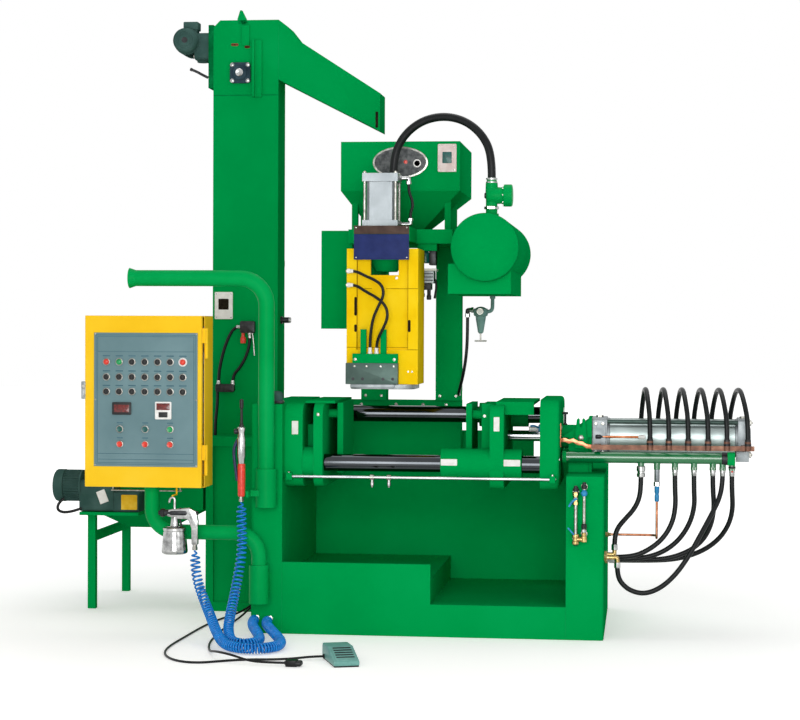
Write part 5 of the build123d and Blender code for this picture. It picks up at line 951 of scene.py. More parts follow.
makePiece("baseFittings", "machine", "brass", [
    *[row for y, z in ((180, 313), (220, 301), (260, 296), (300, 287)) for row in (
        (turned, brass, (690, y, z), facingRight, [(0, 14), (9, 14), (10, 12)], 6),
        (turned, polishedSteel, (700, y, z), facingRight,
         [(0, 10), (6, 10), (7, 12.6), (26, 12.6), (28, 11)]))],
    (tube, brass, [(690, 140, 328), (712, 140, 328), (729, 140, 328), (730, 140, 336), (730, 140, 352)], 9.0),
    (turned, polishedSteel, (730, 140, 346), facingUp, [(0, 11), (1, 12.8), (22, 12.8), (24, 11)]),
    (tube, brass, [(690, 100, 320), (722, 100, 320), (741, 100, 320), (742, 100, 312), (742, 100, 296)], 9.0),
    (turned, polishedSteel, (742, 100, 302), facingDown, [(0, 11), (1, 12.8), (22, 12.8), (24, 11)]),
    *[(turned, brass, (690, y, z), facingRight, [(0, 15), (10, 15), (11, 13)], 6)
      for y, z in ((140, 328), (100, 320))],
    (tube, copper, [(898, 200, 668), (898, 200, 540), (898, 200, 440), (898, 200, 398), (898, 212, 388),
                    (898, 270, 388), (898, 326, 388), (886, 345, 388), (820, 345, 388), (690, 345, 388)],
                    5.0),
    (turned, brass, (690, 345, 388), facingRight, [(0, 11), (12, 11), (13, 8), (22, 8)], 6),
    *[row for x, z in ((-650, 60), (-704, 62)) for row in (
        (turned, polishedSteel, (x, 0, z), facingFront, [(0, 14), (9, 14), (10, 11)], 6),
        (turned, zincSteel, (x, -9, z), facingFront, [(0, 9), (8, 9), (9, 11), (18, 11), (21, 6)]))],
    *[row for y in (560, 440) for row in (
        (turned, blackPlastic, (-730, y, 60), facingLeft, [(0, 13), (7, 13), (8, 11)], 6),
        (turned, blackPlastic, (-738, y, 60), facingLeft, [(0, 10), (8, 9.6), (14, 6.5)]))],
], "base_fittings")
print("water fittings made")

# two cocks on the right post, the limit rod along the clamp, and the small air motor on the left post
cocks = {"leftX": 579, "rightX": 612, "y": -30}
leftX, rightX, cockY = cocks["leftX"], cocks["rightX"], cocks["y"]
limit = {"y": 30, "z": 634, "left": -592, "right": 498, "clamps": (-578, 484), "switches": (-240, -172)}
airMotor = {"x": -642, "y": 90, "low": 925}
makePiece("postSet", "machine", "tool_steel", [
    (turned, zincSteel, (leftX, cockY, 380), facingUp, [(0, 7), (226, 7)], 16),
    (turned, blackPlastic, (leftX, cockY, 594), facingUp,
     [(0, 9), (2, 12.5), (10, 12.5), (13, 9), (20, 8), (22, 4)]),
    (turned, brass, (leftX, cockY, 540), facingUp,
     [(0, 10), (1, 13), (12, 13), (14, 10), (36, 10), (38, 13), (50, 13), (52, 10)], 6),
    (turned, zincSteel, (leftX, cockY - 8, 566), facingFront, [(0, 8), (5, 8), (6, 6)], 6),
    (tube, bluePlastic, [(leftX + 4, cockY - 15, 566), (leftX - 8, cockY - 17, 560),
                         (leftX - 20, cockY - 18, 546), (leftX - 26, cockY - 18, 534)], 4.6),
    (turned, brass, (leftX, cockY, 384), facingUp,
     [(0, 11), (2, 14), (12, 14), (14, 11), (26, 11), (28, 14), (40, 14), (42, 11)], 18),
    (turned, brass, (leftX, cockY, 404), facingRight, [(0, 9), (34, 9)], 16),
    (tube, bluePlastic, [(leftX - 6, cockY - 12, 424), (leftX - 14, cockY - 14, 432),
                         (leftX - 24, cockY - 14, 444), (leftX - 30, cockY - 13, 450)], 3.6),
    (turned, blackPlastic, (leftX, cockY, 380), facingUp, [(0, 8), (3, 10), (8, 10)]),
    (turned, zincSteel, (rightX, cockY, 400), facingUp, [(0, 6), (220, 6)], 16),
    (turned, blackPlastic, (rightX, cockY, 604), facingUp, [(0, 9), (2, 11.5), (12, 11.5), (16, 8), (26, 7)]),
    (turned, bluePlastic, (rightX, cockY, 574), facingUp,
     [(0, 5), (2, 9), (6, 12), (12, 13.4), (18, 12), (22, 9), (26, 6)]),
    (turned, blackPlastic, (rightX, cockY, 446), facingUp, [(0, 8), (2, 10.5), (18, 10.5), (20, 7)]),
    (turned, polishedSteel, (rightX, cockY, 432), facingUp, [(0, 9), (1, 11.5), (11, 11.5), (12, 9)]),
    (turned, brass, (rightX, cockY, 393), facingUp, [(0, 8), (2, 12), (24, 12), (26, 9), (38, 9)], 18),
    *[(turned, zincSteel, (x, 0, z), facingFront, [(0, 13), (4, 13), (5, 7.5), (30, 7.5)], 16)
      for x, low, high in ((leftX, 404, 590), (rightX, 424, 610)) for z in (low, high)],
    (turned, rodChrome, (limit["left"], limit["y"], limit["z"]), facingRight,
     [(0, 4.6), (1.4, 6), (limit["right"] - limit["left"] - 1.4, 6), (limit["right"] - limit["left"], 4.6)],
     18),
    *[row for x in limit["clamps"] for row in (
        (plate, greenEnamel, "x", cornerOutline((18, 619), (52, 649), 5), x - 12, x + 12, 1.5),
        (turned, zincSteel, (x, 26, 649), facingUp, [(0, 5), (4, 5), (5, 4)], 6))],
    *[row for x in limit["switches"] for row in (
        (turned, zincSteel, (x - 9, limit["y"], limit["z"]), facingRight,
         [(0, 10), (1, 11.4), (17, 11.4), (18, 10)]),
        (turned, polishedSteel, (x, limit["y"], limit["z"] - 8), facingDown,
         [(0, 6), (10, 6), (11, 8), (24, 8), (26, 5), (32, 4)], 12))],
    (block, darkSteel, (-684, 64, 925), (-614, 116, 937), 2.0),
    (turned, motorEnamel, (airMotor["x"], airMotor["y"], airMotor["low"] + 10), facingUp,
     [(0, 24), (3, 27), (26, 27), (34, 24), (40, 16), (42, 4)], 28),
    (turned, zincSteel, (-672, airMotor["y"], airMotor["low"] + 12), facingUp,
     [(0, 9), (10, 9), (11, 6), (24, 6)], 6),
], "post_fittings")
print("post fittings made")

# shooting head: blow plates under it, slots and seams in the yellow casting, screws
makePiece("blowPlates", "shooting_head", "tool_steel", [
    (plate, groundSteel, "y", cornerOutline((-371, 1004), (-155, 1091), 3), 172, 200, 2.0),
    (plate, castAlloy, "z", cornerOutline((-357, 186), (-90, 430), 46, 8), 984, 1004, 2.5),
    (block, castAlloy, (-352, 176, 990), (-170, 190, 1004), 2.0),
    *[(turned, darkSteel, (x, 172.4, 1026), facingFront, [(0, 6.5), (0.6, 6.5)], 14)
      for x in (-340, -300, -216, -176)],
], "blow_plates")
makePiece("headMarks", "shooting_head", "yellow_paint", [
    # painted shade: near-black plates over the casting's slots, where the hollows lie in shade
    *[(plate, slotShadeAndDarkWindow, "y", slotOutline(x, low, high, 11), 199.4, 200.6, 0.0)
      for x, low, high in ((-334, 1285, 1362), (-334, 1218, 1249), (-112, 1218, 1268))],
    *[(block, seamGold, (x0, face - 0.4, z - 1.4), (x1, face + 0.6, z + 1.4), 0.0)
      for x0, x1, z, face in ((-314, -268, 1396, 212), (-210, -118, 1396, 212), (-118, -77, 1396, 200),
                              (-328, -118, 1155, 212), (-370, -330, 1155, 200), (-118, -77, 1146, 200))],
    *[(block, seamGold, (x - 1.2, 199.6, 1146), (x + 1.2, 212.4, 1530), 0.0) for x in (-329, -118)],
])
spread("headBolts", "hexHead", zincSteel,
       [((x, 174, 1106), facingFront, 0.6) for x in (-331, -170)]
       + [((x, 172, 1078), facingFront, 0.4) for x in (-334, -284, -226, -172)]
       + [((-167, 212, 1440), facingFront, 0.6), ((-100, 200, 1056), facingFront, 0.4),
          ((-116, 200, 1056), facingFront, 0.4)], "shooting_head")
makePiece("headHoseEnds", "shooting_head", "tool_steel", [
    *[row for z in (1467, 1410) for row in (
        (turned, whitePlastic, (-366, 170, z), facingRight, [(0, 8), (2, 9.6), (12, 9.6), (14, 8), (26, 7)]),
        (turned, zincSteel, (-362, 200, z), facingFront, [(0, 9), (30, 9), (36, 7)], 12))],
    *[(turned, whitePlastic, (x, 186, 1129), facingUp, [(0, 9), (8, 9), (9, 7.6), (24, 7.4), (26, 6.2)])
      for x in (-272, -245)],
])
print("shooting head dressed")

# valve stack beside the head: dark coils on a silver manifold, bare white plate
makePiece("valveStack", "machine", "valve_grey", [
    (block, greenEnamel, (-108, 452, 1560), (-26, 548, 1590), 2.0),
    (turned, tealPlastic, (-76, 478, 1508), facingUp,
     [(0, 15), (3, 20), (26, 21), (40, 19), (48, 13), (54, 11)]),
    (block, darkSteel, (-60, 462, 1500), (-30, 520, 1562), 4.0),
    (block, whiteEnamel, (-108, 451, 1476), (-27, 536, 1486), 1.2),
    (block, castAlloy, (-102, 454, 1424), (-38, 534, 1476), 3.0),
    *[(block, darkSteel, (-98, 452.4, z - 2), (-42, 455, z + 2), 0.5) for z in (1436, 1450, 1464)],
    (block, blackPlastic, (-94, 458, 1396), (-50, 520, 1424), 4.0),
    (turned, darkSteel, (-60, 470, 1354), facingUp, [(0, 7), (2, 10), (18, 10), (20, 8), (46, 8)], 14),
    (turned, darkSteel, (-88, 484, 1366), facingUp, [(0, 7), (2, 9), (14, 9), (16, 7), (34, 7)], 14),
    (tube, hoseRubber, [(-40, 466, 1440), (-30, 464, 1438), (-28, 464, 1410), (-32, 466, 1380),
                        (-36, 468, 1360)], 5.0),
], "shoot_valves")

# regulator under the tank's saddle, press cylinder's elbows and the blow pipe's stub
regulator = {"x": 142, "y": 690}
makePiece("airSet", "machine", "grey_aluminium", [
    (tube, castTeal, [(193, regulator["y"], 1378), (193, regulator["y"], 1340), (192, regulator["y"], 1316),
                      (180, regulator["y"], 1306), (160, regulator["y"], 1306)], 8.0),
    (turned, castTeal, (193, regulator["y"], 1362), facingUp, [(0, 9), (1, 12), (13, 12), (14, 10)], 6),
    (turned, castTeal, (regulator["x"], regulator["y"], 1286), facingUp,
     [(0, 22), (3, 29), (10, 31), (26, 31), (32, 28), (40, 14), (42, 4)], 28),
    (turned, castTeal, (172, regulator["y"], 1306), facingLeft, [(0, 11), (1, 14), (10, 14), (60, 14)], 16),
    (turned, castTeal, (regulator["x"], regulator["y"], 1212), facingUp,
     [(0, 7), (4, 10), (6, 12), (60, 21), (76, 23)], 24),
    (turned, zincSteel, (regulator["x"], regulator["y"], 1182), facingUp, [(0, 3.5), (32, 3.5)], 12),
    (turned, zincSteel, (116, regulator["y"], 1180), facingRight, [(0, 2.5), (1, 3.6), (51, 3.6), (52, 2.5)],
     12),
    (turned, zincSteel, (regulator["x"], 661, 1307), facingFront,
     [(0, 8), (4, 8), (5, 15), (13, 15), (14, 13.5)], 24),
    (turned, whiteEnamel, (regulator["x"], 647.6, 1307), facingFront, [(0, 12.6), (0.8, 12.6)], 24),
    (turned, polishedSteel, (111, regulator["y"], 1313.5), facingLeft, [(0, 14), (9, 14), (10, 11), (20, 11)],
     6),
    (tube, blackPlastic, [(96, regulator["y"], 1313), (88, regulator["y"], 1313), (85, regulator["y"], 1311),
                          (85, regulator["y"], 1304), (85, regulator["y"], 1292)], 9.5),
    (turned, polishedSteel, (85, regulator["y"], 1282), facingUp, [(0, 8), (1, 10.5), (15, 10.5), (16, 9)],
     6),
    *[row for z, way, x in ((1857, -1, -132), (1665, 1, -124)) for row in (
        (turned, polishedSteel, (-169.5, 330, z), facingRight, [(0, 12), (9, 12), (10, 10)], 6),
        (tube, polishedSteel, [(-162, 330, z), (x - 10, 330, z), (x, 330, z), (x, 330, z + 9 * way),
                               (x, 330, z + 16 * way)], 9.0),
        (turned, polishedSteel, (x, 330, z + 14 * way), (0, 0, way), [(0, 9), (1, 10.8), (11, 10.8), (12, 7)],
         6))],
    (turned, pipeEnamel, (-214, 470, 1650), facingUp,
     [(0, 44), (10, 44), (11, 29), (150, 29), (152, 34), (160, 34), (162, 24), (170, 24), (206, 22)], 28),
    (turned, polishedSteel, (-214, 470, 1838), facingUp,
     [(0, 20), (1, 24), (6, 24), (7, 21), (14, 21), (15, 24), (20, 24), (21, 18)], 24),
], "air_fittings")

# tie rods of the press cylinder, with nuts on its cap
pressRod = {"x": -243.5, "y": 329.5, "reach": 64, "low": 1676, "high": 1844, "top": 1874}
pressPlaces = [(pressRod["x"] + a * pressRod["reach"], pressRod["y"] + b * pressRod["reach"])
               for a in (-1, 1) for b in (-1, 1)]
makePiece("pressRods", "machine", "grey_aluminium", [
    *[(turned, zincSteel, (x, y, pressRod["low"]), facingUp,
       [(0, 5.5), (pressRod["high"] - pressRod["low"], 5.5)], 14) for x, y in pressPlaces],
])
spread("pressNuts", "nutStud", zincSteel,
       [((x, y, pressRod["top"]), facingUp, 0.62) for x, y in pressPlaces])

# diaphragm valve on the air tank: green casting with a round cap, dark pilot at its left, silver rings
makePiece("tankTop", "machine", "green_paint", [
    (turned, pipeEnamel, (212, 350, 1690), facingUp, [(0, 30), (20, 30), (21, 24), (100, 24)], 28),
    (turned, polishedSteel, (212, 350, 1728), facingUp, [(0, 27), (1, 31), (11, 31), (12, 27)], 6),
    (turned, pipeEnamel, (190, 350, 1785), facingRight,
     [(0, 22), (4, 30), (12, 35), (40, 36), (60, 34), (70, 36), (72, 44), (76, 46), (104, 46), (108, 42),
      (110, 30)], 32),
    (turned, polishedSteel, (190, 350, 1785), facingRight, [(0, 12), (0.4, 20), (2, 23), (4, 23)], 24),
    (turned, darkSteel, (192, 350, 1785), facingLeft, [(0, 14), (6, 14), (8, 10), (10, 10)], 18),
    (turned, pipeEnamel, (212, 350, 1800), facingUp, [(0, 26), (36, 25), (38, 22), (58, 20)], 28),
    (turned, polishedSteel, (212, 350, 1836), facingUp,
     [(0, 20), (1, 24), (6, 24), (7, 21), (14, 21), (15, 24), (21, 24), (22, 18)], 24),
], "tank_valve")
spread("tankTopScrews", "hexHead", zincSteel,
       [((262, 350 + 40 * math.cos(angle), 1785 + 40 * math.sin(angle)), facingLeft, 0.5)
        for angle in (math.pi * step / 4 for step in range(8))])
print("air fittings made")

# hopper front: oval sight glass in a bolted ring, and a bare switch plate
sight = {"x": -194, "z": 1940, "ring": (119, 68), "glass": (111, 60), "face": 560}
makePiece("hopperSet", "machine", "green_paint", [
    (plate, zincSteel, "y", roundOutline((sight["x"], sight["z"]), sight["ring"], 40), 552, sight["face"],
     2.0),
    (plate, sightDark, "y", roundOutline((sight["x"], sight["z"]), sight["glass"], 40), 550.6, 553, 0.6),
    (turned, whitePlastic, (-122, 551, 1936), facingFront, [(-1, 17), (0.6, 17), (1, 15)], 24),
    (turned, sightDark, (-122, 550.6, 1936), facingFront, [(0, 12), (0.6, 12)], 24),
    (turned, redPlastic, (-171, 551, 1942), facingFront, [(-1, 9), (0.6, 8), (1, 5)], 16),
    (plate, pinkPlate, "y", cornerOutline((-34, 1899), (46, 2018), 5), 552, 560, 1.5),
    (plate, tealPlastic, "y", cornerOutline((-14, 1936), (26, 1984), 3), 551, 553, 0.6),
], "hopper_fittings")
spread("sightScrews", "hexHead", zincSteel,
       [((x, 552, z), facingFront, 0.3) for x in (-26, 38) for z in (1907, 2010)])

# maker's board on the beam's nose, left bare: dark strip over a blue field
makePiece("boardPlate", "machine", "sign_enamel", [
    (plate, signBlue, "y", cornerOutline((-339, 1514), (-112, 1618), 2), 175, 182, 0.8),
    (plate, signBrown, "y", cornerOutline((-339, 1619), (-112, 1653), 2), 174, 182, 0.8),
], "sign_plate")
spread("boardScrews", "panHead", zincSteel,
       [((x, face, z), facingFront, 0.7) for x in (-330, -121) for z, face in ((1523, 175), (1645, 174))])

# elevator gear motor: finned body along Y, fan cowl in front, gearbox on a green plate
motor = {"x": -1178, "z": 2500, "bodyFront": 789, "radius": 51, "cowlFront": 745, "fins": 30}
makePiece("gearMotor", "machine", "motor_green", [
    # the motor's plate is drawn in the deep green, darker than the casing
    (block, deepGreen, (-1080, 790, 2292), (-1057, 962, 2571), 2.0),
    (plate, motorEnamel, "x", cornerOutline((796, 2420), (956, 2540), 26, 5), -1146, -1080, 4.0),
    (turned, motorEnamel, (-1122, 876, 2420), facingDown, [(-4, 26), (3, 26), (5, 23)], 24),
    (turned, motorEnamel, (motor["x"], motor["bodyFront"] - 1, motor["z"]), facingBack,
     [(0, 58), (12, 59), (13, motor["radius"]), (130, motor["radius"]), (131, 59), (146, 59), (147, 50)], 36),
    (turned, motorEnamel, (motor["x"], motor["cowlFront"], motor["z"]), facingBack,
     [(2, 12), (0, 15), (0, 26), (3, 28), (3, 36), (0, 38), (0, 44), (5, 50), (12, 54), (40, 56), (45, 56)],
     40),
    (turned, darkSteel, (motor["x"], motor["cowlFront"] + 0.6, motor["z"]), facingBack, [(0, 13), (3, 13)],
     20),
    (block, motorEnamel, (-1196, 800, 2552), (-1130, 868, 2588), 5.0),
    (block, motorEnamel, (-1190, 806, 2540), (-1136, 862, 2556), 2.0),
    (block, motorEnamel, (-1160, 800, 2462), (-1120, 930, 2534), 6.0),
    (tube, darkSteel, [(-1151, 784, 2372), (-1130, 786, 2364), (-1110, 788, 2352), (-1081, 791, 2338)], 6.0),
    (turned, darkSteel, (-1151, 784, 2372), (-0.9, -0.1, 0.35), [(0, 8), (8, 8), (10, 6)], 6),
], "elevator_motor")
spread("motorFins", "motorFin", motorEnamel,
       [((motor["x"] + motor["radius"] * math.cos(angle), 862, motor["z"]
          + motor["radius"] * math.sin(angle)),
         (math.cos(angle), 0, math.sin(angle)), 1.0)
        for angle in (2 * math.pi * step / motor["fins"] for step in range(motor["fins"]))
        if not 0.2 < (angle / math.pi) % 2 < 0.72 or angle > math.pi], "machine")
spread("gearboxScrews", "hexHead", zincSteel,
       [((-1146, y, z), facingLeft, 0.7) for y in (812, 940) for z in (2436, 2524)])
print("elevator motor made")

# elevator head: lifting lug, bearing, take-up bar, switch plate, stay, stub, air valve with its red knob
bearing = {"x": -935, "z": 2357, "bolt": 35}
makePiece("elevatorSet", "machine", "tool_steel", [
    (plate, greenEnamel, "y", [(-948, 2560), (-884, 2560), (-908, 2590), (-930, 2634), (-938, 2634),
                               (-950, 2596)], 790, 812, 2.0),
    (block, greenEnamel, (-930, 782, 2478), (-894, 790.5, 2566), 1.5),
    (plate, bearingBlue, "y", cornerOutline((-981, 2311), (-889, 2403), 14), 776, 790, 2.5),
    (turned, bearingBlue, (bearing["x"], 778, bearing["z"]), facingFront,
     [(0, 33), (8, 33), (12, 30), (14, 24), (12, 20)], 32),
    (turned, polishedSteel, (bearing["x"], 770, bearing["z"]), facingFront,
     [(0, 17), (12, 17), (14, 14), (13, 3)], 24),
    (block, greenEnamel, (-874, 778, 2250), (-838, 790, 2500), 2.0),
    (block, greenEnamel, (-879, 760, 2250), (-868, 790, 2500), 1.5),
    (plate, whiteEnamel, "y", cornerOutline((-1047, 1270), (-966, 1390), 4), 783, 790, 1.5),
    (plate, slotShadeAndDarkWindow, "y", cornerOutline((-1030, 1312), (-984, 1360), 3), 782.4, 784, 0.4),
    (turned, greenEnamel, (-765, 870, 700), facingRight,
     [(0, 30), (6, 30), (7, 20), (28, 20), (29, 30), (35, 30)], 24),
    (turned, darkSteel, (-765, 870, 1267), facingRight, [(0, 17), (8, 17), (9, 13), (38, 13)], 20),
    (turned, polishedSteel, (-728, 870, 1267), facingRight, [(0, 13), (7, 13), (9, 11)], 20),
    (plate, darkSteel, "y", cornerOutline((-925, 1209), (-859, 1262), 7), 740, 764, 3.0),
    (block, darkSteel, (-908, 760, 1220), (-876, 790, 1250), 2.0),
    (turned, polishedSteel, (-918, 752, 1236), facingLeft, [(-8, 11), (6, 11), (8, 9), (22, 9), (24, 8)], 14),
    (turned, polishedSteel, (-882, 752, 1211), facingDown, [(0, 10), (10, 10), (12, 8.4), (24, 8.4)], 14),
    (turned, redPlastic, (-912, 752, 1163), facingUp,
     [(0, 8), (2, 12), (20, 13), (26, 11), (30, 8), (46, 7)]),
    (tube, polishedSteel, [(-870, 746, 1212), (-866, 744, 1190), (-862, 743, 1150), (-860, 742, 1110)], 3.4),
    (plate, darkSteel, "y", cornerOutline((-1035, 948), (-950, 984), 9), 738, 766, 4.0),
    (block, polishedSteel, (-1006, 762, 954), (-980, 790, 978), 2.0),
    *[(turned, polishedSteel, (x, 752, 978), facingUp, [(0, 10), (12, 10), (13, 8.4), (22, 8.4)], 12)
      for x in (-1021, -958)],
], "elevator_fittings")
spread("elevatorBolts", "hexHead", polishedSteel,
       [((bearing["x"] + a * bearing["bolt"], 776, bearing["z"] + b * bearing["bolt"]), facingFront, 0.85)
        for a in (-1, 1) for b in (-1, 1)]
       + [((x, 783, z), facingFront, 0.3) for x in (-1040, -973) for z in (1278, 1382)])

# feeder drive behind the control box
makePiece("feederSet", "machine", "motor_green", [
    (turned, motorEnamel, (-1690, 520, 546), facingRight,
     [(3, 16), (0, 20), (0, 58), (6, 67), (14, 70), (44, 70), (46, 62), (116, 62), (117, 68), (124, 68)], 36),
    (plate, motorEnamel, "x", cornerOutline((462, 438), (578, 572), 20), -1572, -1420, 5.0),
    (plate, motorEnamel, "x", cornerOutline((466, 436), (576, 522), 14), -1424, -1310, 4.0),
    (block, greenEnamel, (-1570, 460, 422), (-1310, 600, 436), 1.5),
    (plate, whiteEnamel, "y", [(-1476, 470), (-1440, 484), (-1460, 536), (-1496, 522)], 459, 462, 0.6),
    (plate, labelYellow, "y", cornerOutline((-1386, 448), (-1316, 512), 3), 463, 466.5, 0.8),
    (tube, cableSheath, [(-1560, 462, 452), (-1590, 454, 440), (-1640, 452, 432), (-1668, 456, 446),
                         (-1660, 462, 478), (-1640, 470, 492)], 6.0),
], "feeder_drive")
spread("driveFins", "driveFin", motorEnamel,
       [((-1609, 520 + 61 * math.cos(angle), 546 + 61 * math.sin(angle)),
         (0, math.cos(angle), math.sin(angle)), 1.0)
        for angle in (2 * math.pi * step / 32 for step in range(32))], "machine")
print("elevator and feeder fittings made")

# foot pedal: hammered wedge on a rubber base, ribbed treadle; turned on the floor
pedal = {"x": -262, "y": -665, "turn": 20, "half": 48, "reach": 112, "ribs": (-88, -70, -52, -34, -16),
         "treadLow": 26, "slope": 0.316}


def treadleRib(reach):
    lift = pedal["treadLow"] + (reach + pedal["reach"]) * pedal["slope"]
    outline = [(reach - 3, lift - 2), (reach + 3, lift), (reach + 3, lift + 2.5), (reach - 3, lift + 0.5)]
    return plate, cableSheath, "x", outline, -34, 34, 0.6


makePiece("pedalSet", "machine", "pedal_teal", [
    (block, cableSheath, (-46, -110, 0), (46, 110, 7), 2.0),
    (plate, pedalShell, "x", [(-112, 5), (112, 5), (112, 50), (104, 60), (6, 60), (-10, 54), (-112, 22)],
     -pedal["half"], pedal["half"], 4.0),
    (plate, pedalShell, "x", [(-110, 21), (-14, 52), (-14, 57), (-112, 26)], -40, 40, 1.5),
    *[treadleRib(reach) for reach in pedal["ribs"]],
    (turned, cableSheath, (-44, 69.6, 14), facingLeft, [(0, 9), (8, 9), (9, 7), (10, 6)], 14),
], "foot_pedal", turn=(pedal["turn"], (pedal["x"], pedal["y"], 0)))

# the loose cable's plug: two round shells side by side
makePiece("plugSet", "machine", "hose_rubber", [
    (plate, cableSheath, "z", cornerOutline((-448, -799), (-402, -759), 9), 1, 25, 4.0),
    *[(turned, blackPlastic, (-408, y, 12.5), facingRight, [(0, 10), (14, 10.4), (18, 9), (21, 5)])
      for y in (-790, -768)],
    (turned, blackPlastic, (-453, -779, 13), facingRight, [(0, 5.5), (6, 8), (10, 10)], 14),
], "cable_plug")
print("pedal and plug made")

# bolts, bare label plates and slots on the welded frame and on the moving platen
spread("frameBolts", "hexHead", zincSteel,
       [((-465, 52, 884), facingFront, 0.6)]
       + [((x, 870, 895), facingFront, 0.7) for x in (-401, -246, -126, -23)]
       + [((x, 850, 935), facingFront, 0.6) for x in (-380, -310, -49, 21)])
spread("platenBolts", "hexHead", zincSteel,
       [((210, 52, 884), facingFront, 0.6)], "moving_clamp")
makePiece("framePlates", "machine", "sign_enamel", [
    (plate, whiteEnamel, "y", cornerOutline((-572, 803), (-546, 857), 2), 50.4, 52.6, 0.5),
    # painted shade: a near-black strip on the chute's front at its right end, which lies in shade
    (plate, slotShadeAndDarkWindow, "y", cornerOutline((-333, 2112), (-321, 2182), 2), 789.2, 790.6, 0.0),
    *[(plate, slotRust, "y", cornerOutline(low, high, 6.5), 789.2, 790.6, 0.3)
      for low, high in (((-978, 2476), (-944, 2488)), ((-918, 2466), (-892, 2477)))],
    (block, deepGreen, (-1056, 789.5, 2258), (-766, 790.5, 2261), 0.0),
])
# bare plates on the moving platen and its hub, and the blue valve over the piston rod
makePiece("platenPlates", "moving_clamp", "sign_enamel", [
    (plate, whiteEnamel, "y", cornerOutline((247, 823), (270, 880), 2), 50.4, 52.6, 0.5),
    *[(plate, whiteEnamel, "y", cornerOutline((x - 33, 684), (x + 33, 710), 2), 46.9, 50.0, 0.5)
      for x in (68, 321)],
    (turned, whitePlastic, (372, 330, 822), facingRight, [(0, 6), (2, 9), (36, 9), (38, 7), (44, 7)], 16),
    (plate, bluePlastic, "y", cornerOutline((412, 812), (428, 840), 5), 316, 344, 3.0),
    (tube, bluePlastic, [(414, 318, 826), (404, 306, 832), (392, 300, 836), (380, 298, 834)], 4.0),
])

# bolted access covers where the photograph does not show: base back and left side, elevator boot
coverPlates = [("y", (-420, 260), (360, 780), 960, 965), ("y", (-1012, 330), (-810, 690), 962, 967),
               ("y", (-1057, 1500), (-765, 1540), 962, 970), ("x", (200, 260), (760, 800), -735, -730)]
makePiece("accessCovers", "machine", "green_paint", [
    *[(plate, greenEnamel, across, cornerOutline(low, high, 10), near, far, 1.5)
      for across, low, high, near, far in coverPlates],
])
coverBolts = []
for across, low, high, near, far in coverPlates:
    for share in (0.04, 0.35, 0.65, 0.96):
        for edge in (low[1] + 16, high[1] - 16):
            along = low[0] + (high[0] - low[0]) * share
            place = (along, far, edge) if across == "y" else (near, along, edge)
            coverBolts.append((place, facingBack if across == "y" else facingLeft, 0.75))
spread("coverBolts", "hexHead", zincSteel, coverBolts, "machine")
for part in parts.values():
    bpy.data.objects.remove(part)
print("frame dressed")


# stage: pale floor, soft light, camera where the photograph was taken from
# the floor keeps the shadow round the machine and, to the eye and in gloss, runs out into the white backdrop
floorFade = {"start": 1.6, "end": 5.0, "near": 0.34, "far": 0.75}
studio = {"floorReach": 30, "ambient": 0.5, "backdrop": 1.0, "lampAim": (0.0, 0.0, 1.0)}
pureWhite = (1.0, 1.0, 1.0, 1.0)


# one where the ray comes from the eye, off a glossy face or through glass
def seenByEye(tree):
    ray = addNode(tree, "ShaderNodeLightPath")
    direct = addNode(tree, "ShaderNodeMath", operation="MAXIMUM",
                     links={0: ray.outputs["Is Camera Ray"], 1: ray.outputs["Is Glossy Ray"]})
    looks = addNode(tree, "ShaderNodeMath", operation="MAXIMUM",
                    links={0: direct.outputs[0], 1: ray.outputs["Is Transmission Ray"]})
    return looks.outputs[0]


floorMaterial, floorTree, floorWhere, floorSurface = startMaterial("paleStudioFloor")
floorSurface.inputs["Base Color"].default_value = hexColour("#f3f3f1")
floorSurface.inputs["Roughness"].default_value = 0.9
away = addNode(floorTree, "ShaderNodeVectorMath", links={0: floorWhere}, operation="LENGTH")
fade = addNode(floorTree, "ShaderNodeMapRange",
               {"From Min": floorFade["start"], "From Max": floorFade["end"],
                "To Min": floorFade["near"], "To Max": floorFade["far"]},
               {"Value": away.outputs["Value"]})
glow = addNode(floorTree, "ShaderNodeMath", links={0: fade.outputs[0], 1: seenByEye(floorTree)},
               operation="MULTIPLY")
white = addNode(floorTree, "ShaderNodeEmission", {"Color": pureWhite}, {"Strength": glow.outputs[0]})
floorBoth = addNode(floorTree, "ShaderNodeAddShader", links={0: floorSurface.outputs[0], 1: white.outputs[0]})
floorTree.links.new(floorBoth.outputs[0], floorTree.nodes["Material Output"].inputs["Surface"])
mesh = bpy.data.meshes.new("studioFloor")
reach = studio["floorReach"]
mesh.from_pydata([(-reach, -reach, 0), (reach, -reach, 0), (reach, reach, 0), (-reach, reach, 0)], [],
                 [(0, 1, 2, 3)])
mesh.materials.append(floorMaterial)
studioFloor = bpy.data.objects.new("studioFloor", mesh)
bpy.context.scene.collection.objects.link(studioFloor)

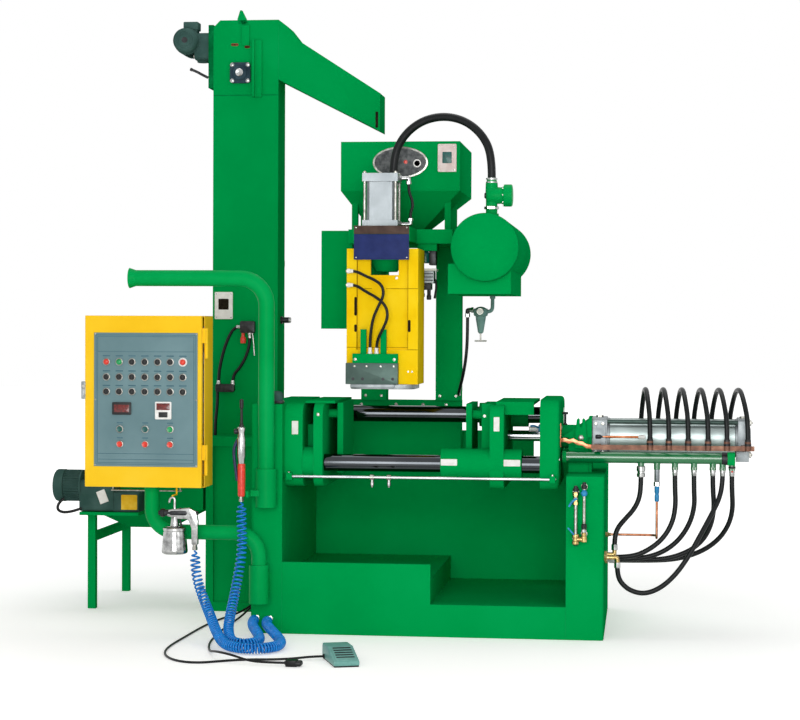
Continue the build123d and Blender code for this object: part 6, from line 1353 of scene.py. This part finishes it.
world = bpy.data.worlds.new("paleStudio")
bpy.context.scene.world = world
world.use_nodes = True
sky = world.node_tree
sky.nodes.clear()
ambient = addNode(sky, "ShaderNodeBackground", {"Color": pureWhite, "Strength": studio["ambient"]})
backdrop = addNode(sky, "ShaderNodeBackground", {"Color": pureWhite, "Strength": studio["backdrop"]})
both = addNode(sky, "ShaderNodeMixShader",
               links={0: seenByEye(sky), 1: ambient.outputs[0], 2: backdrop.outputs[0]})
addNode(sky, "ShaderNodeOutputWorld", links={"Surface": both.outputs[0]})

lampSet = {
    "keyFront": {"at": (0.4, -7.6, 1.6), "size": 3.5, "power": 252},
    "fillRight": {"at": (4.6, -5.4, 2.6), "size": 3.0, "power": 35},
    "top": {"at": (0.0, 0.8, 6.0), "size": 4.0, "power": 70},
}
for name, lamp in lampSet.items():
    light = bpy.data.lights.new(name, "AREA")
    light.energy = lamp["power"]
    light.size = lamp["size"]
    holder = bpy.data.objects.new(name, light)
    holder.location = lamp["at"]
    toAim = Vector(studio["lampAim"]) - Vector(lamp["at"])
    holder.rotation_euler = toAim.to_track_quat("-Z", "Y").to_euler()
    bpy.context.scene.collection.objects.link(holder)

photoCamera = {"lens": 92.25, "sensor": 36.0, "at": (0.84674, -8.13691, 1.24728),
               "yaw": 6.815, "pitch": 0.978, "roll": 0.25}
yaw, pitch, roll = (math.radians(photoCamera[key]) for key in ("yaw", "pitch", "roll"))
ahead = Vector((-math.sin(yaw) * math.cos(pitch), math.cos(yaw) * math.cos(pitch), -math.sin(pitch)))
level = Vector((math.cos(yaw), math.sin(yaw), 0.0))
upright = level.cross(ahead)
right = level * math.cos(roll) + upright * math.sin(roll)
upward = upright * math.cos(roll) - level * math.sin(roll)
lens = bpy.data.cameras.new("photoCamera")
lens.lens = photoCamera["lens"]
lens.sensor_width = photoCamera["sensor"]
lens.sensor_fit = "HORIZONTAL"
lens.clip_end = 100.0
camera = bpy.data.objects.new("photoCamera", lens)
camera.matrix_world = Matrix.Translation(Vector(photoCamera["at"]) + zero) @ Matrix(
    (right, upward, -ahead)).transposed().to_4x4()
bpy.context.scene.collection.objects.link(camera)
bpy.context.scene.camera = camera
bpy.context.scene.view_settings.view_transform = "Standard"
print("stage set")
